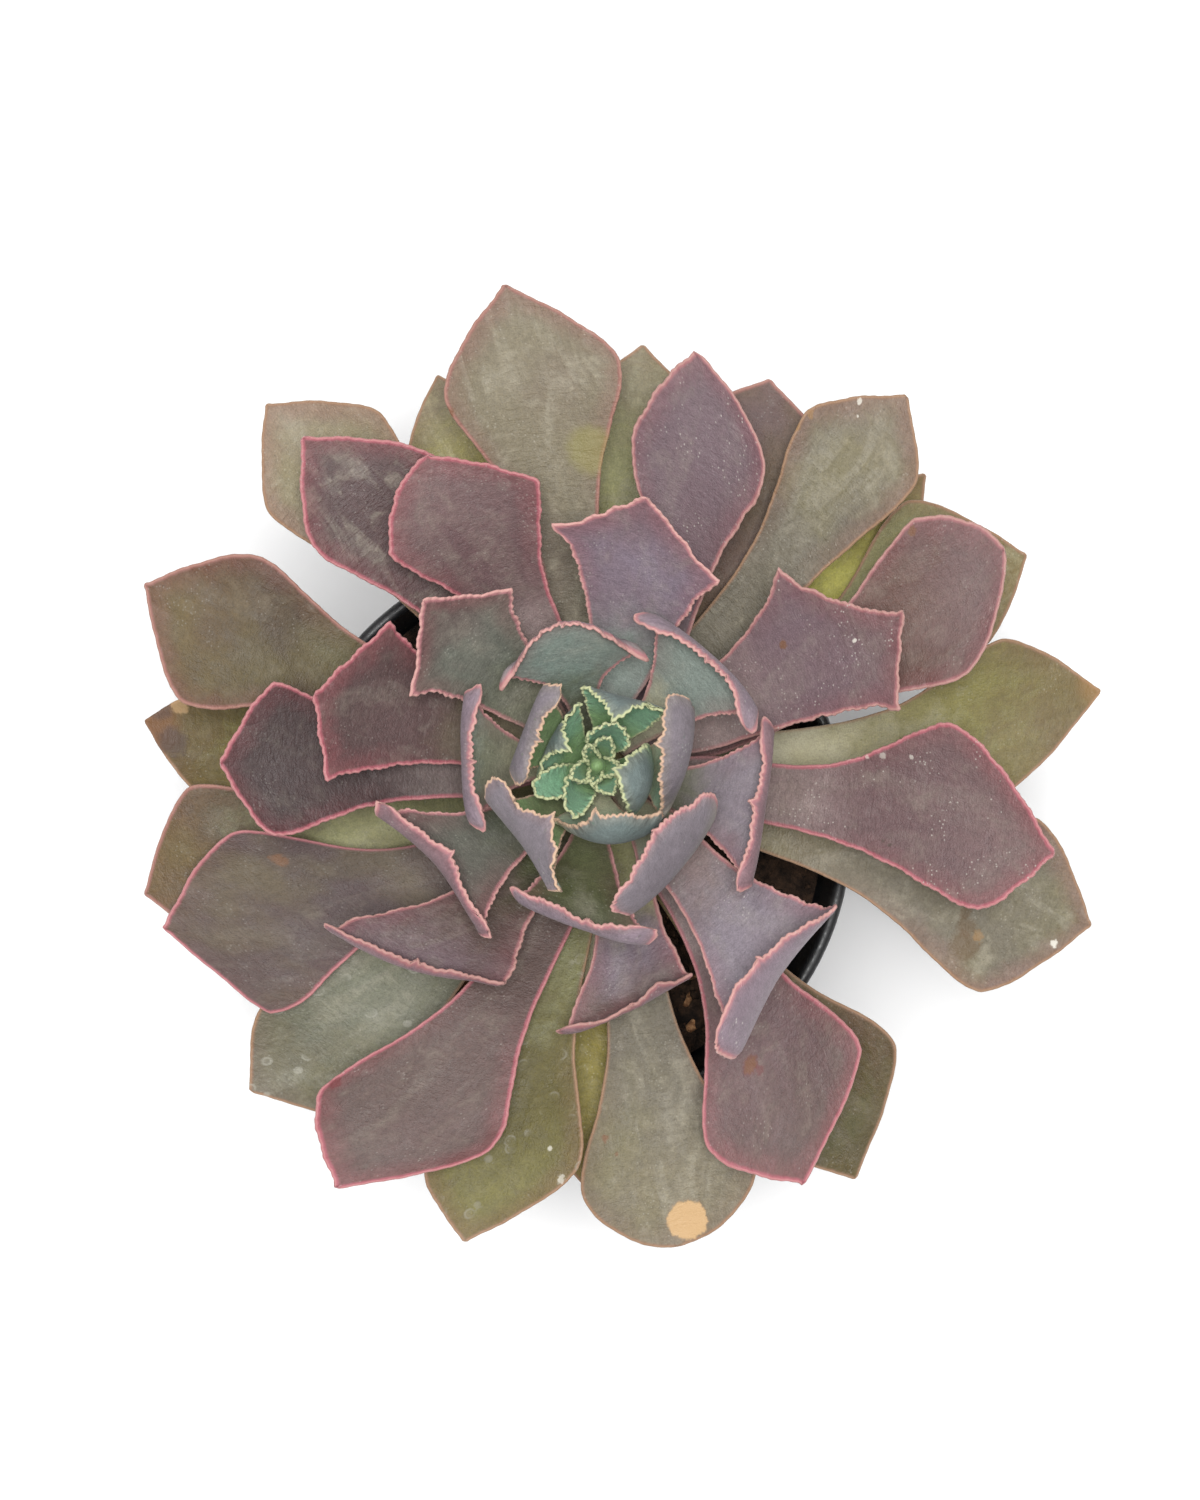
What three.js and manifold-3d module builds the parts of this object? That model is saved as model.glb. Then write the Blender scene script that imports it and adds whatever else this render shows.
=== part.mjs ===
// A pink frills echeveria in a round nursery pot, in millimetres, +Z up.
// The origin is the centre of the flat underside of the pot.

import * as THREE from "three";
import { mergeVertices } from "three/addons/utils/BufferGeometryUtils.js";
import Module from "manifold-3d";

const wasm = await Module();
wasm.setup();

// The pot: 108 mm across the rim and 90 mm high, thin black plastic.
const POT_HEIGHT = 90;
const POT_RIM_RADIUS = 54;
const POT_FOOT_RADIUS = 39;
const POT_BAND_HEIGHT = 13;
const POT_WALL = 1.6;
const POT_FLOOR = 2;
const POT_SIDES = 48;
const DRAIN_HOLES = 6;
const DRAIN_RADIUS = 3.5;
const DRAIN_CIRCLE_RADIUS = 27;

// Two solids that touch on the real plant stand this far apart.
const CLEARANCE = 0.3;

// The soil fills the pot to 10 mm under the rim, and its top is uneven.
const SOIL_TOP = 80;
const SOIL_ROUGHNESS = 0.9;
const SOIL_SIDES = 32;

// The plant stands off the middle of the pot. Its axis is vertical.
const PLANT_AXIS = new THREE.Vector2(5.7, 12.6);

// The stem as [height, radius], from its foot in the soil to under the heart.
const STEM_FOOT = 60;
const STEM_OUTLINE = [
  [60, 5.8],
  [70, 6.4],
  [90.6, 6.4],
  [109.5, 5.4],
  [118.9, 4.0],
  [119.4, 3.4],
];
const STEM_SIDES = 16;

// A leaf's level is its place in age, 1 for the oldest. Each pair of numbers is [level, value].
const ATTACH_HEIGHT = [[0, 90], [30, 109.5], [41, 118.9], [42, 121], [53, 128.2]];
const ATTACH_RADIUS = [[1, 6.7], [30, 5.7], [41, 4.3], [42, 1.8], [53, 0.8]];
const RISE_AT_BASE = [[1, 10], [10, 12], [20, 18], [28, 27], [34, 36], [39, 44], [45, 52]];
const RISE_AT_END = [[1, -12], [10, -6], [20, 4], [28, 17], [34, 34], [39, 50], [45, 66]];
const BASE_HALF_WIDTH = [[25, 2.3], [41, 1.6], [42, 1.3], [53, 0.9]];
const NECK_HALF_WIDTH = [[30, 5.2], [41, 3.8], [42, 2.6], [53, 1.6]];
const BODY_THICKNESS = [[25, 2.4], [41, 1.5], [42, 1.1], [53, 0.8]];
const FLARE_POWER = [[28, 3], [31, 2.2], [45, 2.2], [46, 1]];
const FRILL_HEIGHT = [[8, 0.25], [22, 0.6]];
const NECK_LENGTH = 20;
const MARGIN_THICKNESS = 0.75;
const CUP_DEPTH = 2;
const CURL_END = 165;
const LEAST_CURL_RADIUS = 2.5;
const LEAST_CURL = 0.05;
const CURLED_CUP_DEPTH = 1;
const CURLED_CORNER = 2.5;

// Leaves as they are seen from above, each point as [direction, distance from the plant's axis],
// in degrees from +X towards +Y and millimetres: the point, then the widest place on the left
// and on the right. base is the direction of the foot on the stem.
// round: 1 for a round end, 2 for a pointed one, two numbers where its left and right differ.
// corner: how sharp the shoulders are.
// flare: how late the blade widens, higher for later.
const LEAVES = [
  { level: 1, base: 43, tip: [41.5, 83], left: [46, 71], right: [33.5, 70], flare: 1.5 },
  { level: 2, base: 178, tip: [174.5, 86], left: [184, 75], right: [170, 76] },
  { level: 3, base: 113, tip: [112.3, 79.5], left: [122, 67], right: [104, 65.5] },
  { level: 4, base: 268, tip: [268, 79], left: [276, 66], right: [260, 66] },
  { level: 5, base: 22, tip: [26, 90], left: [40.5, 76], right: [17, 76] },
  { level: 6, base: 197, tip: [196, 88.5], left: [207, 75], right: [183, 76] },
  { level: 7, base: 306, tip: [302, 91.5], left: [317, 76], right: [293, 75] },
  { level: 8, base: 84, tip: [83.7, 79], left: [94.5, 66], right: [73.5, 67] },
  { level: 9, base: 233, tip: [223.3, 89], left: [234.5, 80], right: [215.5, 76], flare: 1.6 },
  { level: 10, base: 359, tip: [8.3, 95], left: [17.3, 78.5], right: [355.5, 75], flare: 4 },
  { level: 11, base: 280, tip: [279.5, 91], left: [291.3, 81], right: [268, 80], round: 1.1 },
  { level: 12, base: 64, tip: [65.9, 78.5], left: [76, 65], right: [53, 72], flare: 1.2 },
  { level: 13, base: 221, tip: [200.7, 86], left: [217.3, 76], right: [190.5, 68] },
  { level: 14, base: 341, tip: [342, 96], left: [353, 82], right: [329.3, 82] },
  { level: 15, base: 133, tip: [132.5, 90.3], left: [142.5, 76], right: [121.5, 76] },
  { level: 16, base: 260, tip: [254.5, 91], left: [267.5, 74], right: [247, 81] },
  { level: 17, base: 44, tip: [50, 88.5], left: [59.5, 75], right: [41.3, 78] },
  { level: 18, base: 162, tip: [158.2, 89.3], left: [171.5, 77], right: [148.3, 73] },
  { level: 19, base: 310, tip: [296.3, 85.5], left: [313, 71], right: [286, 73] },
  { level: 20, base: 95, tip: [100.9, 89.2], left: [112.5, 73], right: [86.8, 74.5] },
  { level: 21, base: 256, tip: [238.4, 90.3], left: [254.5, 73], right: [229.7, 78] },
  { level: 22, base: 16, tip: [27.9, 83.7], left: [37.7, 73], right: [14, 70], round: 1.4 },
  { level: 23, base: 130, tip: [131.9, 79.7], left: [142.5, 65], right: [118, 64] },
  { level: 24, base: 286, tip: [278, 45.1], left: [293, 42.8], right: [264, 49.8] },
  { level: 25, base: 60, tip: [76.5, 76.5], left: [83.8, 60], right: [60.3, 62], round: [1.8, 1.3] },
  { level: 26, base: 182, tip: [179.7, 67.8], left: [192.3, 60], right: [165.7, 60.5] },
  { level: 27, base: 351, tip: [349.1, 83], left: [6.5, 65], right: [339.3, 73] },
  { level: 28, base: 114, tip: [118.7, 63.3], left: [134, 53.5], right: [102.7, 52.5], round: [1.2, 2] },
  { level: 29, base: 242, tip: [227.8, 49.6], left: [244.8, 43.5], right: [212.3, 56.9] },
  { level: 30, base: 22, tip: [26.8, 61], left: [45.5, 48], right: [11.8, 55], corner: 1, round: [2.7, 2] },
  { level: 31, base: 165, tip: [166, 52], left: [181.5, 48.5], right: [147, 45.5], corner: 0.5 },
  { level: 32, base: 313, tip: [310, 49.6], left: [328.3, 49.5], right: [296, 57.3] },
  { level: 33, base: 75, tip: [79.5, 48.3], left: [97, 43.3], right: [58.7, 39.7], corner: 0.8 },
  { level: 34, base: 221, tip: [212, 33.8], left: [235.6, 37], right: [193, 40.8] },
  { level: 35, base: 341, tip: [346, 30.9], left: [10.5, 32.2], right: [322, 35.2] },
  { level: 36, base: 136, tip: [136.5, 42], left: [156, 36], right: [118.3, 35.3], corner: 0.8 },
  { level: 37, base: 264, tip: [267, 29.9], left: [284.5, 33.1], right: [240.5, 27.9] },
  { level: 38, base: 38, tip: [43, 28.3], left: [67.5, 28.6], right: [19, 30.2] },
  { level: 39, base: 178, tip: [178, 24.2], left: [202.5, 24.9], right: [152, 26.8] },
  { level: 40, base: 311, tip: [310.6, 23], left: [336, 22.7], right: [284, 27] },
  { level: 41, base: 103, tip: [104.2, 26.2], left: [134.3, 22.2], right: [73.4, 21.1] },
];

// The last leaves of the heart grow from one bud and are one piece with it.
// rise: how steeply each stands at its foot and at its end.
const HEART_LEAVES = [
  { level: 42, base: 224, tip: [226.5, 19.3], left: [248.8, 23.5], right: [197.7, 20.5] },
  { level: 43, base: 353, tip: [10.4, 17.2], left: [29.2, 19.7], right: [323.8, 14.8] },
  { level: 44, base: 152, tip: [154.7, 14.6], left: [181.2, 15.5], right: [125.2, 17.1] },
  { level: 45, base: 273, tip: [270.4, 13.8], left: [311.9, 15.1], right: [232.4, 12.6] },
  { level: 46, base: 48, tip: [51, 16], left: [64, 12.5], right: [34, 14.8], rise: [52, 66], round: 1.1 },
  { level: 47, base: 180, tip: [185, 10.8], left: [206, 10.2], right: [156, 9], rise: [52, 68], round: 0.9 },
  { level: 48, base: 345, tip: [345, 10.3], left: [20, 10], right: [308, 11], rise: [56, 72] },
  { level: 49, base: 92, tip: [90.5, 15.1], left: [107, 12], right: [77, 11.5], rise: [48, 64], round: 2.6 },
  { level: 50, base: 245, tip: [251, 9.3], left: [270, 7.6], right: [212, 7], rise: [58, 70], round: 1.3 },
  { level: 51, base: 82, tip: [76, 11.6], left: [95, 9.4], right: [55, 10], rise: [54, 70] },
  { level: 52, base: 122, tip: [115, 10.4], left: [135, 10.6], right: [95, 8.8], rise: [54, 70], round: 0.9 },
];

// Leaves whose end curls up and back: how far inside its outline the frilled margin of each is
// seen from above, at the left end, halfway, the middle, halfway and the right end.
const CURLED_LEAVES = {
  24: [0.3, 2.6, 0.8, 0.5, 0.3],
  29: [0.3, 1.8, 1.5, 2.2, 0.3],
  32: [0.6, 3.6, 5, 7, 5.5],
  34: [0.6, 1.5, 3.2, 2.8, 1.4],
  35: [1.2, 1.7, 2.1, 2.2, 2.2],
  37: [1.6, 3.2, 1.9, 3.4, 1.6],
  38: [3.5, 1.8, 1.4, 1.6, 2.6],
  39: [2, 2.3, 1.9, 2.4, 2],
  40: [4.5, 7.2, 7.4, 6.5, 4.5],
  41: [2.2, 0.8, 0.8, 0.9, 2.4],
  42: [1.5, 5.5, 7, 4, 4.5],
  43: [5, 5.8, 5.5, 4.5, 1.5],
  44: [3.5, 3.2, 2.8, 3, 3.6],
  45: [3.5, 5.6, 5, 2, 0.8],
  48: [1.5, 5, 6.5, 5, 2],
};

// The bud under the heart's leaves as [height, radius].
const BUD_OUTLINE = [
  [119.7, 3.1],
  [122, 3.2],
  [126, 2.6],
  [130, 1.9],
  [133.5, 1.2],
  [135, 0.4],
];
const BUD_SIDES = 12;

// How finely a leaf is divided: ribs from its midline to its margin, and strips along each rib.
const OLD_LEAF_RIBS = 9;
const LEAF_RIBS = 12;
const HEART_LEAF_RIBS = 8;
const FIRST_WELL_SEEN_LEVEL = 14;
const STRIPS = 2;
const RIB_SPACING_POWER = 0.65;
const MARGIN_STEPS = 80;

const COLOURS = {
  pot: 0x17181a,
  soil: 0x2a201a,
  stem: 0x6f6a4c,
  oldLeaf: 0x7d7a5a,
  leaf: 0x8a7279,
  youngLeaf: 0x8f8a92,
  heart: 0x86a58c,
};

const radians = THREE.MathUtils.degToRad;

// A value between the rows of a table such as STEM_OUTLINE.
function between(table, at) {
  if (at <= table[0][0]) return table[0][1];
  for (let i = 1; i < table.length; i++) {
    const [x0, y0] = table[i - 1];
    const [x1, y1] = table[i];
    if (at <= x1) return y0 + ((y1 - y0) * (at - x0)) / (x1 - x0);
  }
  return table[table.length - 1][1];
}

function smoothstep(x) {
  const t = Math.min(Math.max(x, 0), 1);
  return t * t * (3 - 2 * t);
}

// The middle surface of one leaf. x runs along the midline and y across it, both on the flat blade.
// The midline is an arc from the foot, rising at first and bending down or up on the way, then,
// on a leaf that curls, a tight arc that turns the end up and back. Distances from the plant's
// axis are out, heights are up.
class LeafSurface {
  constructor(row) {
    const { level, base, tip, left, right } = row;
    this.level = level;
    this.base = radians(base);
    this.radius = between(ATTACH_RADIUS, level);
    this.height = between(ATTACH_HEIGHT, level);
    const rise = row.rise ?? [between(RISE_AT_BASE, level), between(RISE_AT_END, level)];
    this.riseStart = radians(rise[0]);
    this.riseEnd = radians(rise[1]);
    this.curls = level in CURLED_LEAVES;
    this.curlRadius = 0;
    if (this.curls) {
      const bands = CURLED_LEAVES[level];
      this.bands = bands.map((band) => Math.max(band - MARGIN_THICKNESS, LEAST_CURL));
      const reach = Math.max(...this.bands) / (1 - Math.sin(radians(CURL_END)));
      this.curlRadius = Math.max(reach, LEAST_CURL_RADIUS);
    }

    const [tipOut, tipSide] = this.seenFromBase(tip);
    const curlOut = this.curlRadius * (1 - Math.sin(this.riseEnd));
    const armOut = tipOut - this.radius - curlOut;
    const turn = this.riseEnd - this.riseStart;
    const flat = Math.abs(turn) < 1e-4;
    this.armLength = flat
      ? armOut / Math.cos(this.riseStart)
      : (armOut * turn) / (Math.sin(this.riseEnd) - Math.sin(this.riseStart));
    this.bend = flat ? 0 : turn / this.armLength;
    this.sideways = tipSide / this.armLength ** 2;
    this.skew = 0;
    this.bow = 0;
    this.length = this.armLength;
    if (this.curls) {
      const [leftOut, leftSide] = this.seenFromBase(left);
      const [rightOut, rightSide] = this.seenFromBase(right);
      const [leftY, rightY] = [leftSide - tipSide, rightSide - tipSide];
      this.cupRadius = Math.max(leftY, -rightY) ** 2 / (2 * CURLED_CUP_DEPTH);
      const leftSlope = (leftOut - tipOut) / leftY;
      const rightSlope = (rightOut - tipOut) / rightY;
      const bow = (leftSlope - rightSlope) / (leftY - rightY);
      this.skew = (leftSlope - bow * leftY) / Math.cos(this.riseEnd);
      this.bow = (bow + 0.5 / this.cupRadius) / Math.cos(this.riseEnd);
      const [leftBand, leftHalf, middleBand, rightHalf, rightBand] = this.bands;
      this.bandTable = [
        [rightY, rightBand],
        [rightY / 2, rightHalf],
        [0, middleBand],
        [leftY / 2, leftHalf],
        [leftY, leftBand],
      ];
      this.length = this.curledMargin(0);
      this.left = [this.curledMargin(leftY) - CURLED_CORNER, leftY];
      this.right = [this.curledMargin(rightY) - CURLED_CORNER, rightY];
    } else {
      this.left = this.onBlade(left);
      this.right = this.onBlade(right);
      this.cupRadius = Math.max(this.left[1], -this.right[1]) ** 2 / (2 * CUP_DEPTH);
    }

    this.baseHalfWidth = between(BASE_HALF_WIDTH, level);
    this.neckHalfWidth = between(NECK_HALF_WIDTH, level);
    this.flare = row.flare ?? between(FLARE_POWER, level);
    this.thickness = between(BODY_THICKNESS, level);
    this.frill = between(FRILL_HEIGHT, level);
    this.endPowers = [row.round ?? (this.curls ? 0.5 : 2)].flat();
    this.corner = row.corner ?? 0;
  }

  // [direction, distance] about the plant's axis, as [out, sideways] from the leaf's foot. Where
  // a leaf curls back, its middle surface lies inside its outline by the blade's thickness.
  seenFromBase([direction, distance]) {
    const angle = radians(direction) - this.base;
    const inside = this.curls ? MARGIN_THICKNESS : 0;
    return [distance * Math.cos(angle) - inside, distance * Math.sin(angle)];
  }

  // How much further out the curl starts at y than on the midline.
  shift(y) {
    return this.skew * y + this.bow * y * y;
  }

  // Where the margin of a curled end is at y.
  curledMargin(y) {
    const turned = Math.PI - Math.asin(1 - between(this.bandTable, y) / this.curlRadius);
    return this.armLength + this.shift(y) + this.curlRadius * (turned - this.riseEnd);
  }

  // Distance out, height and slope of the midline at x.
  midline(x) {
    const arm = Math.min(x, this.armLength);
    const slope = this.riseStart + this.bend * arm;
    let out = this.radius;
    let up = this.height;
    if (this.bend === 0) {
      out += arm * Math.cos(slope);
      up += arm * Math.sin(slope);
    } else {
      out += (Math.sin(slope) - Math.sin(this.riseStart)) / this.bend;
      up += (Math.cos(this.riseStart) - Math.cos(slope)) / this.bend;
    }
    if (x <= this.armLength || !this.curlRadius) return [out, up, slope];
    const turned = this.riseEnd + (x - this.armLength) / this.curlRadius;
    out += this.curlRadius * (Math.sin(turned) - Math.sin(this.riseEnd));
    up += this.curlRadius * (Math.cos(this.riseEnd) - Math.cos(turned));
    return [out, up, turned];
  }

  // The place on the flat blade that is seen from above at a point, before the blade curls back.
  onBlade(point) {
    const [out, sideways] = this.seenFromBase(point);
    let low = 0;
    let high = this.armLength * 1.1;
    for (let i = 0; i < 40; i++) {
      const middle = (low + high) / 2;
      if (this.midline(middle)[0] < out) low = middle;
      else high = middle;
    }
    return [low, sideways - this.sideways * low * low];
  }

  // The point at (x, y), and the direction that is square to the blade there.
  at(x, y) {
    const shift = this.shift(y);
    const along = Math.max(x - shift, 0);
    let [out, up, slope] = this.midline(along);
    const lean = y / this.cupRadius;
    const lift = this.cupRadius * (1 - Math.cos(lean));
    out += shift * Math.cos(this.riseEnd) - lift * Math.sin(slope);
    up += shift * Math.sin(this.riseEnd) + lift * Math.cos(slope);
    const bentLength = this.curls ? Math.min(x, this.armLength) : x;
    const side = this.cupRadius * Math.sin(lean) + this.sideways * bentLength ** 2;
    const shiftSlope = this.skew + 2 * this.bow * y;
    const normal = new THREE.Vector3(
      -Math.sin(slope) * Math.cos(lean),
      shiftSlope * Math.sin(slope - this.riseEnd) - Math.sin(lean),
      Math.cos(slope) * Math.cos(lean),
    ).normalize();
    const turn = (v) => v.applyAxisAngle(new THREE.Vector3(0, 0, 1), this.base);
    const point = turn(new THREE.Vector3(out, side, up));
    point.x += PLANT_AXIS.x;
    point.y += PLANT_AXIS.y;
    return { point, normal: turn(normal) };
  }

  // The margin on one side, from foot to tip, as points evenly far apart on the flat blade.
  margin(side, count) {
    const [shoulder, width] = side > 0 ? this.left : [this.right[0], -this.right[1]];
    const endPower = this.endPowers.at(side > 0 ? 0 : -1);
    const points = [];
    for (let i = 0; i <= MARGIN_STEPS; i++) {
      const t = i / MARGIN_STEPS;
      const soft = Math.sin((Math.PI / 2) * t ** this.flare) ** 2;
      const grown = (1 - this.corner) * soft + this.corner * t ** this.flare;
      const neck = smoothstep((shoulder * t) / NECK_LENGTH);
      const narrow = this.baseHalfWidth + (this.neckHalfWidth - this.baseHalfWidth) * neck;
      points.push([shoulder * t, narrow + Math.max(width - narrow, 0) * grown]);
    }
    for (let i = 1; i <= MARGIN_STEPS; i++) {
      const angle = (Math.PI / 2) * (i / MARGIN_STEPS);
      const y = width * Math.max(Math.cos(angle), 0) ** endPower;
      const end = this.curls ? this.curledMargin(side * y) : this.length;
      const power = this.curls ? 1 : 1.4 + 0.6 * this.corner;
      points.push([shoulder + (end - shoulder) * Math.sin(angle) ** power, y]);
    }
    const run = [0];
    for (let i = 1; i < points.length; i++) {
      const [dx, dy] = [points[i][0] - points[i - 1][0], points[i][1] - points[i - 1][1]];
      run.push(run[i - 1] + Math.hypot(dx, dy));
    }
    const xTable = run.map((r, i) => [r, points[i][0]]);
    const yTable = run.map((r, i) => [r, points[i][1]]);
    const total = run[run.length - 1];
    const made = [];
    for (let i = 0; i <= count; i++) {
      const r = total * (i / count) ** RIB_SPACING_POWER;
      made.push([between(xTable, r), side * between(yTable, r)]);
    }
    return made;
  }

  // Thickness where the share of the length is along, and the share of the half width is across.
  thicknessAt(along, across) {
    const foot = 0.66 + 0.34 * smoothstep(along / 0.25);
    const end = 1 - 0.6 * smoothstep((along - 0.45) / 0.55);
    const middle = Math.max(this.thickness * foot * end, MARGIN_THICKNESS);
    return middle + (MARGIN_THICKNESS - middle) * across * across;
  }
}

// The closed surface of a leaf: an upper and a lower face, and a narrow margin between them.
function leafGeometry(surface, ribs) {
  const sides = [surface.margin(1, ribs), surface.margin(-1, ribs)];
  const columns = [];
  for (let c = -STRIPS; c <= STRIPS; c++) columns.push(c / STRIPS);
  const positions = [];
  const upper = [];
  const lower = [];
  const addVertex = (v) => positions.push(v.x, v.y, v.z) / 3 - 1;

  for (let i = 0; i <= ribs; i++) {
    const along = (i / ribs) ** RIB_SPACING_POWER;
    const isTip = i === ribs;
    upper.push([]);
    lower.push([]);
    for (const column of isTip ? [0] : columns) {
      const across = Math.abs(column);
      const [edgeX, edgeY] = sides[column < 0 ? 0 : 1][i];
      const middle = surface.length * along;
      const { point, normal } = surface.at(middle + (edgeX - middle) * across, edgeY * across);
      if (across === 1) {
        const wave = i % 2 ? 1 : -1;
        point.addScaledVector(normal, wave * surface.frill * smoothstep(along / 0.6));
      }
      upper[i].push(addVertex(point));
      const thickness = surface.thicknessAt(along, across);
      lower[i].push(addVertex(point.addScaledVector(normal, -thickness)));
    }
  }

  const triangles = [];
  const quad = (a, b, c, d) => triangles.push(a, b, c, a, c, d);
  const last = columns.length - 1;
  for (let i = 0; i < ribs - 1; i++) {
    for (let c = 0; c < last; c++) {
      quad(upper[i][c], upper[i][c + 1], upper[i + 1][c + 1], upper[i + 1][c]);
      triangles.push(lower[i][c], lower[i + 1][c + 1], lower[i][c + 1]);
      triangles.push(lower[i][c], lower[i + 1][c], lower[i + 1][c + 1]);
    }
    quad(upper[i][0], upper[i + 1][0], lower[i + 1][0], lower[i][0]);
    quad(upper[i + 1][last], upper[i][last], lower[i][last], lower[i + 1][last]);
  }
  const [upperTip, lowerTip] = [upper[ribs][0], lower[ribs][0]];
  const [lastUpper, lastLower] = [upper[ribs - 1], lower[ribs - 1]];
  for (let c = 0; c < last; c++) {
    triangles.push(lastUpper[c], lastUpper[c + 1], upperTip);
    triangles.push(lastLower[c + 1], lastLower[c], lowerTip);
    quad(upper[0][c + 1], upper[0][c], lower[0][c], lower[0][c + 1]);
  }
  quad(lastUpper[0], upperTip, lowerTip, lastLower[0]);
  quad(upperTip, lastUpper[last], lastLower[last], lowerTip);

  const geometry = new THREE.BufferGeometry();
  geometry.setAttribute("position", new THREE.Float32BufferAttribute(positions, 3));
  geometry.setIndex(triangles);
  return geometry;
}

// A closed surface through rings of points, from the lowest to the highest or, for a hollow
// top, back down again. The first and last rings are closed by a flat fan.
function ringGeometry(rings) {
  const count = rings[0].length;
  const positions = [];
  for (const ring of rings) for (const p of ring) positions.push(p.x, p.y, p.z);
  const triangles = [];
  for (let r = 0; r + 1 < rings.length; r++) {
    for (let i = 0; i < count; i++) {
      const a = r * count + i;
      const b = r * count + ((i + 1) % count);
      triangles.push(a, b, b + count, a, b + count, a + count);
    }
  }
  const top = (rings.length - 1) * count;
  for (let i = 1; i + 1 < count; i++) {
    triangles.push(0, i + 1, i);
    triangles.push(top, top + i, top + i + 1);
  }
  const geometry = new THREE.BufferGeometry();
  geometry.setAttribute("position", new THREE.Float32BufferAttribute(positions, 3));
  geometry.setIndex(triangles);
  return geometry;
}

function circle(centreX, centreY, radius, height, sides) {
  const ring = [];
  for (let i = 0; i < sides; i++) {
    const angle = (2 * Math.PI * i) / sides;
    const x = centreX + radius * Math.cos(angle);
    const y = centreY + radius * Math.sin(angle);
    ring.push(new THREE.Vector3(x, y, height));
  }
  return ring;
}

function solid(geometry) {
  const plain = geometry.clone();
  plain.deleteAttribute("normal");
  plain.deleteAttribute("uv");
  const merged = mergeVertices(plain, 1e-3);
  return new wasm.Manifold(
    new wasm.Mesh({
      numProp: 3,
      vertProperties: merged.attributes.position.array,
      triVerts: new Uint32Array(merged.index.array),
    }),
  );
}

function geometryOf(made) {
  const { numProp, vertProperties, triVerts } = made.getMesh();
  const positions = [];
  for (let i = 0; i < vertProperties.length; i += numProp) {
    positions.push(vertProperties[i], vertProperties[i + 1], vertProperties[i + 2]);
  }
  const geometry = new THREE.BufferGeometry();
  geometry.setAttribute("position", new THREE.Float32BufferAttribute(positions, 3));
  geometry.setIndex([...triVerts]);
  return geometry;
}

// Radius of the outside of the pot's tapered wall at a height, under the band.
function potRadius(height) {
  const top = POT_RIM_RADIUS - 2.6;
  return POT_FOOT_RADIUS + ((top - POT_FOOT_RADIUS) * height) / POT_HEIGHT;
}

function potGeometry() {
  const band = POT_HEIGHT - POT_BAND_HEIGHT;
  const inside = (height) => potRadius(height) - POT_WALL;
  const profile = [
    [0, 0],
    [POT_FOOT_RADIUS - 1, 0],
    [POT_FOOT_RADIUS, 1],
    [potRadius(band - 1), band - 1],
    [potRadius(band) + 1, band],
    [POT_RIM_RADIUS - 0.9, POT_HEIGHT - 2.4],
    [POT_RIM_RADIUS, POT_HEIGHT - 1.8],
    [POT_RIM_RADIUS, POT_HEIGHT - 0.6],
    [POT_RIM_RADIUS - 0.6, POT_HEIGHT],
    [POT_RIM_RADIUS - 1.8, POT_HEIGHT],
    [POT_RIM_RADIUS - 2.5, POT_HEIGHT - 0.6],
    [inside(band) + 1, band + 1.5],
    [inside(band), band],
    [inside(POT_FLOOR + 1) - 0.2, POT_FLOOR + 1],
    [inside(POT_FLOOR) - 1.2, POT_FLOOR],
    [0, POT_FLOOR],
  ];
  const points = profile.map(([r, z]) => new THREE.Vector2(r, z));
  const shell = new THREE.LatheGeometry(points, POT_SIDES);
  shell.rotateX(Math.PI / 2);
  let made = solid(shell);
  for (let i = 0; i < DRAIN_HOLES; i++) {
    const angle = (2 * Math.PI * (i + 0.5)) / DRAIN_HOLES;
    const drill = new THREE.CylinderGeometry(DRAIN_RADIUS, DRAIN_RADIUS, 3 * POT_FLOOR, 12);
    drill.rotateX(Math.PI / 2);
    drill.translate(
      DRAIN_CIRCLE_RADIUS * Math.cos(angle),
      DRAIN_CIRCLE_RADIUS * Math.sin(angle),
      POT_FLOOR / 2,
    );
    made = made.subtract(solid(drill));
  }
  return geometryOf(made);
}

// The uneven top of the soil, by a few waves of unlike length and direction.
function soilHeight(x, y) {
  const waves =
    Math.sin(0.31 * x + 0.9) +
    Math.sin(0.37 * y - 0.4) +
    Math.sin(0.21 * (x + y) + 2.1) +
    Math.sin(0.57 * (x - 0.6 * y));
  return SOIL_TOP + (SOIL_ROUGHNESS * waves) / 2;
}

function soilGeometry() {
  const wall = (height) => potRadius(height) - POT_WALL - CLEARANCE - 0.15;
  const bottom = POT_FLOOR + CLEARANCE;
  const bandStart = POT_HEIGHT - POT_BAND_HEIGHT;
  const rings = [
    circle(0, 0, wall(bottom) - 1.4, bottom, SOIL_SIDES),
    circle(0, 0, wall(bottom + 1.5), bottom + 1.5, SOIL_SIDES),
    circle(0, 0, wall(bandStart), bandStart, SOIL_SIDES),
  ];
  const holeRadius = between(STEM_OUTLINE, SOIL_TOP) + CLEARANCE + 0.1;
  const rim = wall(SOIL_TOP);
  for (const share of [1, 0.85, 0.7, 0.54, 0.38, 0.22, 0.08, 0]) {
    const radius = holeRadius + (rim - holeRadius) * share;
    const [x, y] = [PLANT_AXIS.x * (1 - share), PLANT_AXIS.y * (1 - share)];
    const ring = circle(x, y, radius, 0, SOIL_SIDES);
    for (const p of ring) p.z = soilHeight(p.x, p.y);
    rings.push(ring);
  }
  const holeBottom = STEM_FOOT - CLEARANCE;
  rings.push(circle(PLANT_AXIS.x, PLANT_AXIS.y, holeRadius, holeBottom, SOIL_SIDES));
  return ringGeometry(rings);
}

function stemGeometry() {
  return ringGeometry(
    STEM_OUTLINE.map(([z, r]) => circle(PLANT_AXIS.x, PLANT_AXIS.y, r, z, STEM_SIDES)),
  );
}

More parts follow.
